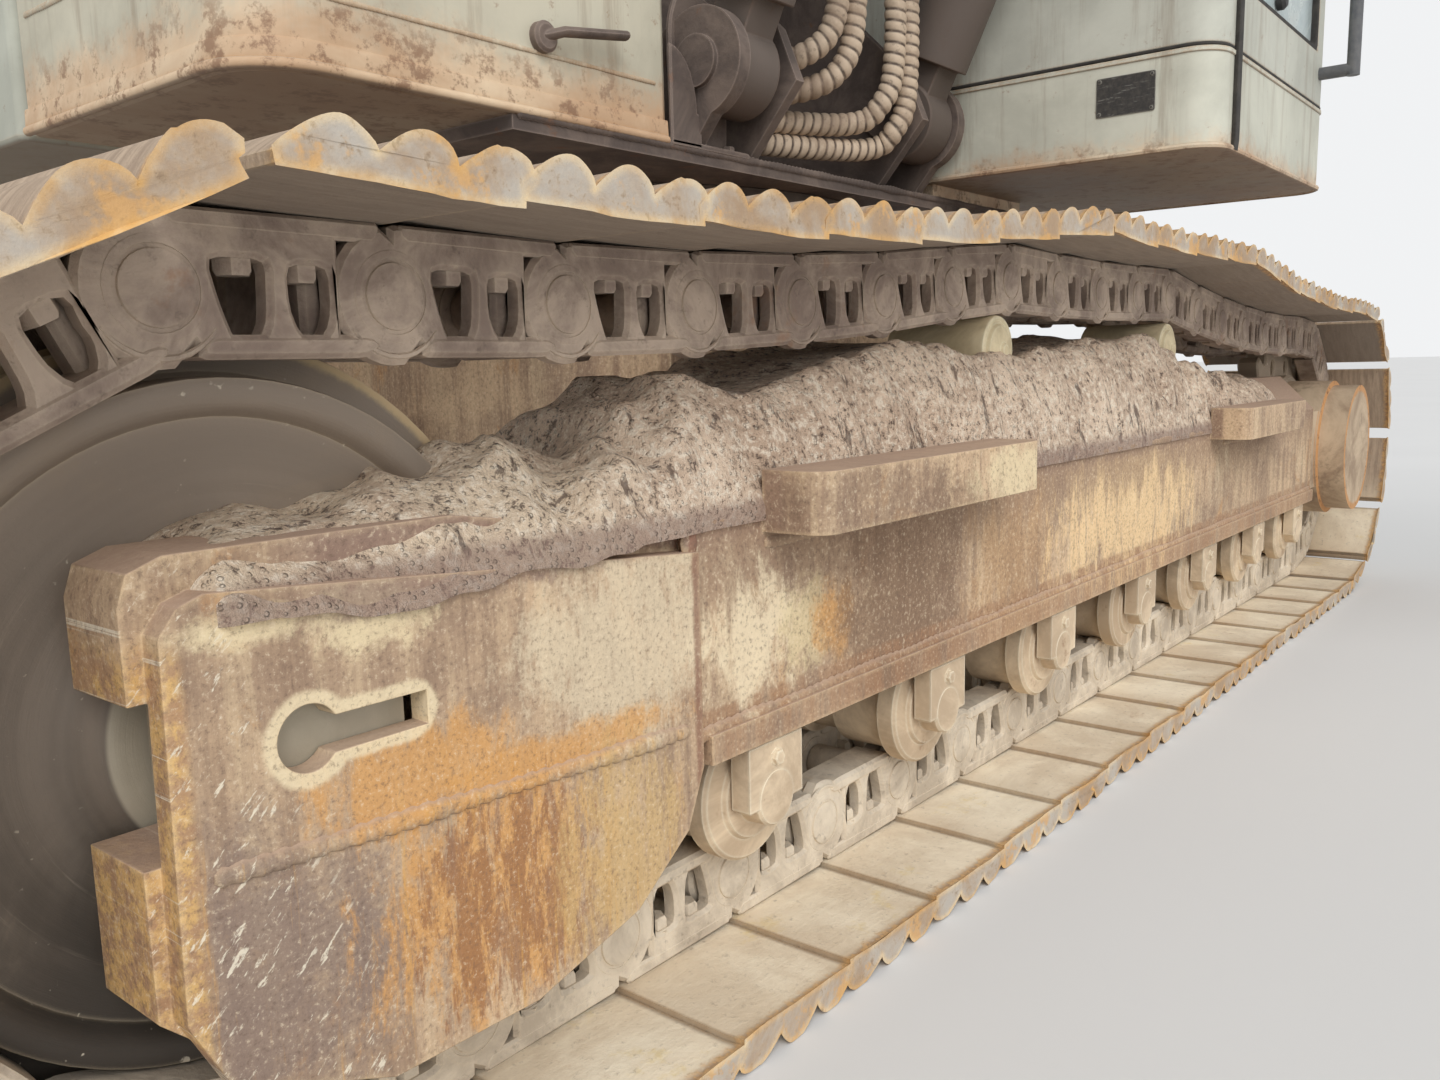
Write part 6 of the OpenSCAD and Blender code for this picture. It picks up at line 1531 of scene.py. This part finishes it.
# %% Boom and arm: places in their own side view
BOOM_X, BOOM_FOOT, BOOM_ANGLE = -0.06, np.array([0.25, 1.95]), math.radians(27)
ARM_ANGLE, BUCKET_ANGLE = math.radians(265), math.radians(270)

def swung(points, foot, angle, x=BOOM_X):
    """Side-view points turned by an angle about a foot, as world points (forward is -Y)."""
    q = np.atleast_2d(np.asarray(points, float))
    u = foot[0] + q[:, 0] * np.cos(angle) - q[:, 1] * np.sin(angle)
    z = foot[1] + q[:, 0] * np.sin(angle) + q[:, 1] * np.cos(angle)
    return np.stack([np.broadcast_to(x, u.shape), -u, z], 1)

BOOM_TIP = swung((6.2, 0), BOOM_FOOT, BOOM_ANGLE)[0, 1:] * (-1, 1)
BUCKET_PIN = swung((3.1, 0), BOOM_TIP, ARM_ANGLE)[0, 1:] * (-1, 1)
boom_at = lambda points, x=BOOM_X: swung(points, BOOM_FOOT, BOOM_ANGLE, x)
arm_at = lambda points, x=BOOM_X: swung(points, BOOM_TIP, ARM_ANGLE, x)
bucket_at = lambda points, x=BOOM_X: swung(points, BUCKET_PIN, BUCKET_ANGLE, x)
print("boom tip", BOOM_TIP.round(4), "bucket pin", BUCKET_PIN.round(4))

boom_top = [(0.40, 0.345), (2.499, 1.393), (2.63, 1.435), (2.761, 1.404), (5.55, 0.371)]
boom_low = [(0.55, 0.01), (2.4958, 0.6071), (2.8636, 0.5957), (5.50, -0.04)]
arm_top = [(0.16, 0.517), (0.60, 0.452), (2.10, 0.235), (2.60, 0.163)]
arm_low = [(0.44, -0.228), (1.6, -0.179), (2.5, -0.148)]
side_seams, arm_seams = [], []
for f in (-1, 1):
    cheek, flank = BOOM_X + f * 0.2405, BOOM_X + f * 0.2005
    side_seams += [bead(boom_at(boom_top, cheek) - (0, 0, 0.018), 0.008, (f, 0, 0), 41 + f),
                   bead(boom_at(boom_low, cheek) + (0, 0, 0.018), 0.008, (f, 0, 0), 44 + f),
                   bead(boom_at([(2.30, 0.62), (2.36, 1.30)], cheek), 0.007, (f, 0, 0), 47 + f),
                   bead(boom_at([(3.02, 0.60), (2.98, 1.28)], cheek), 0.007, (f, 0, 0), 50 + f)]
    arm_seams += [bead(arm_at(arm_top[:3], flank) + (0, 0.016, 0), 0.007, (f, 0, 0), 53 + f),
                  bead(arm_at(arm_low, flank) - (0, 0.016, 0), 0.007, (f, 0, 0), 56 + f),
                  bead(arm_at([(0.42, -0.20), (0.46, 0.44)], flank), 0.007, (f, 0, 0), 59 + f)]
piece("boom_seams", side_seams, "boom", boom_paint, 50)
piece("arm_seams", arm_seams, "arm", boom_paint, 50)

# %% [markdown]
# Four pipes run up the boom and two go on along the arm, held by clamps with rubber in them.
# Between boom and arm the line must bend with the joint, so there it is hose. Each hose arches
# over the pin.

# %% Pipes, clamps and the hoses over the arm joint
pipe_steel = grimy_steel("pipe_steel", (0.13, 0.125, 0.115), (0.24, 0.20, 0.15), 0.6)
pipe_line = np.array([(0.52, 0.45), (0.66, 0.515), (2.46, 1.425),
                      (2.63, 1.478), (2.79, 1.446), (3.20, 1.330)])
over_edge = np.array([(3.10, 1.352, 0.155), (3.35, 1.265, 0.205), (3.50, 1.130, 0.2585),
                      (4.30, 0.790, 0.2585), (5.28, 0.370, 0.2585)])

def beside(at, rows, side):
    """Side-view rows (forward, up, distance from the middle) as world points on one side."""
    rows = np.asarray(rows, float)
    points = at(rows[:, :2])
    points[:, 0] = BOOM_X + side * rows[:, 2]
    return points

boom_pipes, clamps = [], []
for x in (-0.215, -0.170, 0.050, 0.095):
    boom_pipes.append(rod(smooth_line(boom_at(pipe_line, x), 0.05)[0], 0.0125, 12, (1, 0, 0.01)))
for p in ((0.9, 0.636), (1.5, 0.940), (2.1, 1.243), (2.63, 1.468), (3.1, 1.352)):
    for x in (-0.1925, 0.0725):
        c = boom_at(p, x)[0]
        run = 1 if p[0] < 2.5 else 0.8
        lift = 0.505 if p[0] < 2.5 else -0.22 * (p[0] > 2.7)
        way = boom_at((p[0] + run, p[1] + lift), x)[0] - c
        way /= np.linalg.norm(way)
        block = box((-0.045, -0.02, -0.030), (0.045, 0.02, 0.017), 0.005)
        clamps.append(placed(block, c, (1, 0, 0), way, np.cross((1, 0, 0), way)))
for side in (-1, 1):
    boom_pipes.append(rod(smooth_line(beside(boom_at, over_edge, side), 0.05)[0], 0.0125, 12, (1, 0.02, 0.9)))
    clamps += [placed(box((-0.014, -0.02, -0.02), (0.017, 0.02, 0.02), 0.004), beside(boom_at, [q], side)[0],
                      (side, 0, 0), (0, -0.69, 0.72), (0, side * 0.72, side * 0.69))
               for q in ((3.9, 0.960, 0.2585), (4.9, 0.533, 0.2585))]
piece("boom_pipes", boom_pipes, "boom", pipe_steel, 50)
piece("boom_pipe_clamps", clamps, "boom", black_rubber)
arm_rows = [(0.46, 0.300, 0.2165), (0.75, 0.280, 0.2165), (1.30, 0.205, 0.2165), (1.90, 0.120, 0.2165)]
arm_pipes = [rod(smooth_line(beside(arm_at, arm_rows, f), 0.05)[0], 0.0125, 12, (1, 0.02, 0.1))
    for f in (-1, 1)]
arm_clamps = [placed(box((-0.014, -0.02, -0.02), (0.017, 0.02, 0.02), 0.004), beside(arm_at, [q], f)[0],
                     (f, 0, 0), (0, -0.1, -1), (0, -f, 0.1 * f))
              for q in ((0.62, 0.289, 0.2165), (1.70, 0.148, 0.2165)) for f in (-1, 1)]
piece("arm_pipes", arm_pipes, "arm", pipe_steel, 50)
piece("arm_pipe_clamps", arm_clamps, "arm", black_rubber)
ARM_HOSE_R, reach, bow = 0.0145, 0.62, np.linspace(0, 1, 60)[:, None]
for side, word in ((-1, "right"), (1, "left")):
    start, end = beside(boom_at, over_edge[-1:], side)[0], beside(arm_at, arm_rows[:1], side)[0]
    leave = start - beside(boom_at, over_edge[-2:-1], side)[0]
    arrive = beside(arm_at, arm_rows[1:2], side)[0] - end
    one = start + reach * leave / np.linalg.norm(leave)
    two = end - reach * arrive / np.linalg.norm(arrive)
    back = 1 - bow
    line = back ** 3 * start + 3 * bow * back ** 2 * one + 3 * bow ** 2 * back * two + bow ** 3 * end
    length = float(np.linalg.norm(np.diff(line, axis=0), axis=1).sum())
    sweep = along_path(line, circle(ARM_HOSE_R, 14), (1, 0, 0.02))
    hose = piece("arm_hose_" + word, sweep, "boom", black_rubber, 60,
                 body=("boom", "arm", tuple(start), tuple(end)))

# %% [markdown]
# Pins are kept from turning by a flat plate and two bolts. The same pin end is used at the
# boom's foot, between boom and arm, and at the bucket, on both sides of each.

# %% Pin ends
def pin_end(at, side, r, keeper=True):
    """A stepped pin face with a keeper plate and two bolts beside it, facing along X."""
    face = lathe([(0, 0), (r, 0), (r, 0.006), (r * 0.92, 0.012), (r * 0.35, 0.012), (r * 0.30, 0.007),
                  (0, 0.007)], 32)
    forms = [placed(face, at, *out_x(side))]
    if keeper:
        bar = plate(slab(r * 1.1, 0.020, 0.008, 3), 0.0, 0.010, 0.002)
        forms.append(placed(bar, (at[0] + side * 0.004, at[1], at[2] - r * 0.95), *out_x(side)))
        forms += [placed(bolt_head(0.011, 0.009),
                         (at[0] + side * 0.014, at[1] + k * r * 0.75, at[2] - r * 0.95), *to_x(side))
                  for k in (-1, 1)]
    return joined(forms)

ends = {"house": [], "boom": [], "bucket": []}
for f in (-1, 1):
    ends["house"].append(pin_end((BOOM_X + f * 0.2900, -0.25, 1.95), f, 0.050))
    ends["boom"].append(pin_end((BOOM_X + f * 0.2600, -BOOM_TIP[0], BOOM_TIP[1]), f, 0.050))
    ends["bucket"].append(pin_end((BOOM_X + f * 0.2370, -BUCKET_PIN[0], BUCKET_PIN[1]), f, 0.040))
for word, forms in ends.items():
    node = "revolving_frame" if word == "house" else word
    piece("pin_ends_" + word, forms, node, bracket_steel, 35)

# %% [markdown]
# The bucket is worn bright at its lip and teeth. Strips of hard steel are welded across its
# heel, side cutters are bolted to its cheeks, and each tooth is a cap pushed onto an adapter.

# %% Bucket wear parts
def tooth(x):
    """A wedge that narrows to its tip in plan and in side view, as rings from root to tip."""
    t = np.linspace(0, 1, 9)[:, None]
    half_w, half_h = 0.047 - 0.010 * t, 0.047 * (1 - t) ** 0.8 + 0.008
    mid = -0.022 * t ** 1.4
    a = around(20)
    squared = lambda w: np.sign(w) * np.abs(w) ** 0.45
    u = 1.332 + 0.205 * t + 0 * a
    v = -0.072 + mid + half_h * squared(np.sin(a))
    w = half_w * squared(np.cos(a))
    flat = bucket_at(np.stack([u.ravel(), v.ravel()], 1), 0.0)
    flat[:, 0] = x + w.ravel()
    return tube(flat.reshape(9, 20, 3))

tooth_x = BOOM_X - 0.625 + 0.075 + np.arange(5) * (1.25 - 0.15) / 4
tooth_steel = grimy_steel("ground_tooth_steel", (0.20, 0.18, 0.155), (0.36, 0.31, 0.24), 0.7)
piece("bucket_teeth", [tooth(x) for x in tooth_x], "bucket", tooth_steel)
heel = np.radians(np.linspace(96, -8, 26))
strap_line = np.stack([0.640 + 0.642 * np.cos(heel), 0.260 + 0.642 * np.sin(heel)], 1)
strap_section = rounded([(-0.035, -0.004), (0.035, -0.004), (0.032, 0.010), (-0.032, 0.010)], 0.004, 2)
straps = []
for x in BOOM_X + np.array([-0.45, -0.15, 0.15, 0.45]):
    line = bucket_at(strap_line, x)
    centre = bucket_at((0.640, 0.260), x)[0]
    outward = (line - centre) / np.linalg.norm(line - centre, axis=1)[:, None]
    sideways = np.array((1.0, 0, 0)) * strap_section[:, :1]
    rings = line[:, None] + sideways + outward[:, None] * strap_section[:, 1:]
    straps.append(tube(rings))
cutters = []
for f in (-1, 1):
    cheek_line = rounded([(0.98, -0.20), (1.30, -0.115), (1.335, -0.02), (1.18, 0.03), (0.98, -0.06)],
                         0.03, 3)
    p, faces = plate(cheek_line, 0.0, 0.022, 0.004)
    world = bucket_at(p[:, :2], 0.0)
    world[:, 0] = BOOM_X + f * (0.6255 + p[:, 2])
    cutters.append((world, faces))
    for q in ((1.04, -0.11), (1.14, -0.08), (1.24, -0.055)):
        cutters.append(placed(bolt_head(0.017, 0.014), bucket_at(q, BOOM_X + f * 0.6475)[0], *to_x(f)))
piece("bucket_wear_parts", straps + cutters, "bucket", bucket_steel)

# %% [markdown]
# A cylinder's gland is a ring of steel screwed to the barrel's end, with bolts round its face.
# Two hose ports and the pipe between them finish the tube.

# %% Cylinder glands and ports
def on_line(base, eye, forms, x):
    """Forms whose third axis runs from base to eye, both given forward and up."""
    base, eye = np.array(base, float), np.array(eye, float)
    way = (eye - base) / np.linalg.norm(eye - base)
    z_axis, x_axis = np.array((0, -way[0], way[1])), np.array((1.0, 0, 0))
    return placed(joined(forms), (x, -base[0], base[1]), x_axis, np.cross(z_axis, x_axis), z_axis)

def gland(r, rod_r, length):
    """A turned ring at the barrel's end, with a circle of bolts, two ports and the pipe between them."""
    ring = lathe([(0, length - 0.085), (r + 0.001, length - 0.085), (r + 0.012, length - 0.080),
                  (r + 0.012, length - 0.012), (r + 0.004, length + 0.0005),
                  (rod_r + 0.016, length + 0.002), (rod_r + 0.004, length + 0.0035),
                  (0, length + 0.0035)], 40)
    bolt_r = r - 0.010
    bolts = [placed(bolt_head(0.010, 0.008), (bolt_r * np.cos(t), bolt_r * np.sin(t), length + 0.001))
             for t in around(10)]
    port = [box((-0.028, r - 0.004, z - 0.028), (0.028, r + 0.026, z + 0.028), 0.006)
            for z in (0.22, length - 0.14)]
    pipe = [rod([(0, r + 0.020, 0.22), (0, r + 0.034, 0.26), (0, r + 0.034, length - 0.18),
                 (0, r + 0.020, length - 0.14)], 0.011, 10, (1, 0, 0))]
    return [ring] + bolts + port + pipe

tip_u = lambda p: swung(p, BOOM_TIP, ARM_ANGLE)[0, 1:] * (-1, 1)
lift_foot, lift_pin = (0.80, 1.36), boom_at((6.2 * 0.419, 0.98))[0, 1:] * (-1, 1)
arm_base, arm_heel = boom_at((6.2 * 0.508, 1.5))[0, 1:] * (-1, 1), tip_u((-0.74, 0.42))
bucket_base, rocker_end = tip_u((0.5, 0.72)), (6.15695, 2.29366)
lift_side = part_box("boom_cylinder_barrels")[1][0] - BOOM_X - 0.085
lift_gland, crowd_gland, curl_gland = (gland(*sizes) for sizes in
                                       ((0.085, 0.048, 1.65), (0.092, 0.052, 2.35), (0.080, 0.045, 1.45)))
lifts = [on_line(lift_foot, lift_pin, lift_gland, BOOM_X + f * lift_side) for f in (-1, 1)]
piece("boom_cylinder_glands", lifts, "boom_cylinder_barrels", cylinder_paint)
crowd = on_line(arm_base, arm_heel, crowd_gland, BOOM_X)
piece("arm_cylinder_gland", crowd, "arm_cylinder_barrel", cylinder_paint)
curl = on_line(bucket_base, rocker_end, curl_gland, BOOM_X)
piece("bucket_cylinder_gland", curl, "bucket_cylinder_barrel", cylinder_paint)
print("glands set")

# %% [markdown]
# The stage is one large pale floor under a pale sky, with three wide soft suns. The suns only model
# the shapes: their strengths and the sky's add up so that a colour renders about as written.
# Rays that come straight from the camera see a pale backdrop instead of the dimmer sky.

# %% Stage and light
s = Sheet("pale_floor")
s.lay(s.noise(0.6, 4, 0.5), (0.72, 0.72, 0.71), (0.77, 0.77, 0.76))
floor_look = s.done(rough=0.95)
mesh = bpy.data.meshes.new("floor")
corners = np.array([(-1, -1, 0), (1, -1, 0), (1, 1, 0), (-1, 1, 0)]) * 300.0 - (0, 0, 0.001)
mesh.from_pydata(corners.tolist(), [], [(0, 1, 2, 3)])
mesh.materials.append(floor_look)
floor = bpy.data.objects.new("floor", mesh)
bpy.context.scene.collection.objects.link(floor)

def soft_sun(name, towards, strength, width):
    """A sun that shines from a direction, width degrees across."""
    data = bpy.data.lights.new(name, "SUN")
    data.energy, data.angle = strength, math.radians(width)
    made = bpy.data.objects.new(name, data)
    made.rotation_euler = Vector(towards).to_track_quat("Z", "Y").to_euler()
    bpy.context.scene.collection.objects.link(made)

soft_sun("key_sun", (-0.55, -0.60, 0.75), 1.6, 35)
soft_sun("low_fill_sun", (-0.45, -0.90, 0.14), 0.8, 50)
soft_sun("side_fill_sun", (0.60, -0.75, 0.40), 0.3, 60)
world = bpy.data.worlds.new("studio")
bpy.context.scene.world = world
world.use_nodes = True
sky = world.node_tree.nodes["Background"]
sky.inputs["Color"].default_value, sky.inputs["Strength"].default_value = (0.97, 0.98, 1.0, 1), 0.56
seen = world.node_tree.nodes.new("ShaderNodeBackground")
seen.inputs["Color"].default_value, seen.inputs["Strength"].default_value = (0.88, 0.89, 0.90, 1), 1.0
ray = world.node_tree.nodes.new("ShaderNodeLightPath")
either = world.node_tree.nodes.new("ShaderNodeMixShader")
world.node_tree.links.new(ray.outputs["Is Camera Ray"], either.inputs["Fac"])
world.node_tree.links.new(sky.outputs["Background"], either.inputs[1])
world.node_tree.links.new(seen.outputs["Background"], either.inputs[2])
world.node_tree.links.new(either.outputs["Shader"], world.node_tree.nodes["World Output"].inputs["Surface"])
bpy.context.scene.view_settings.view_transform = "Standard"
print("lamps set")
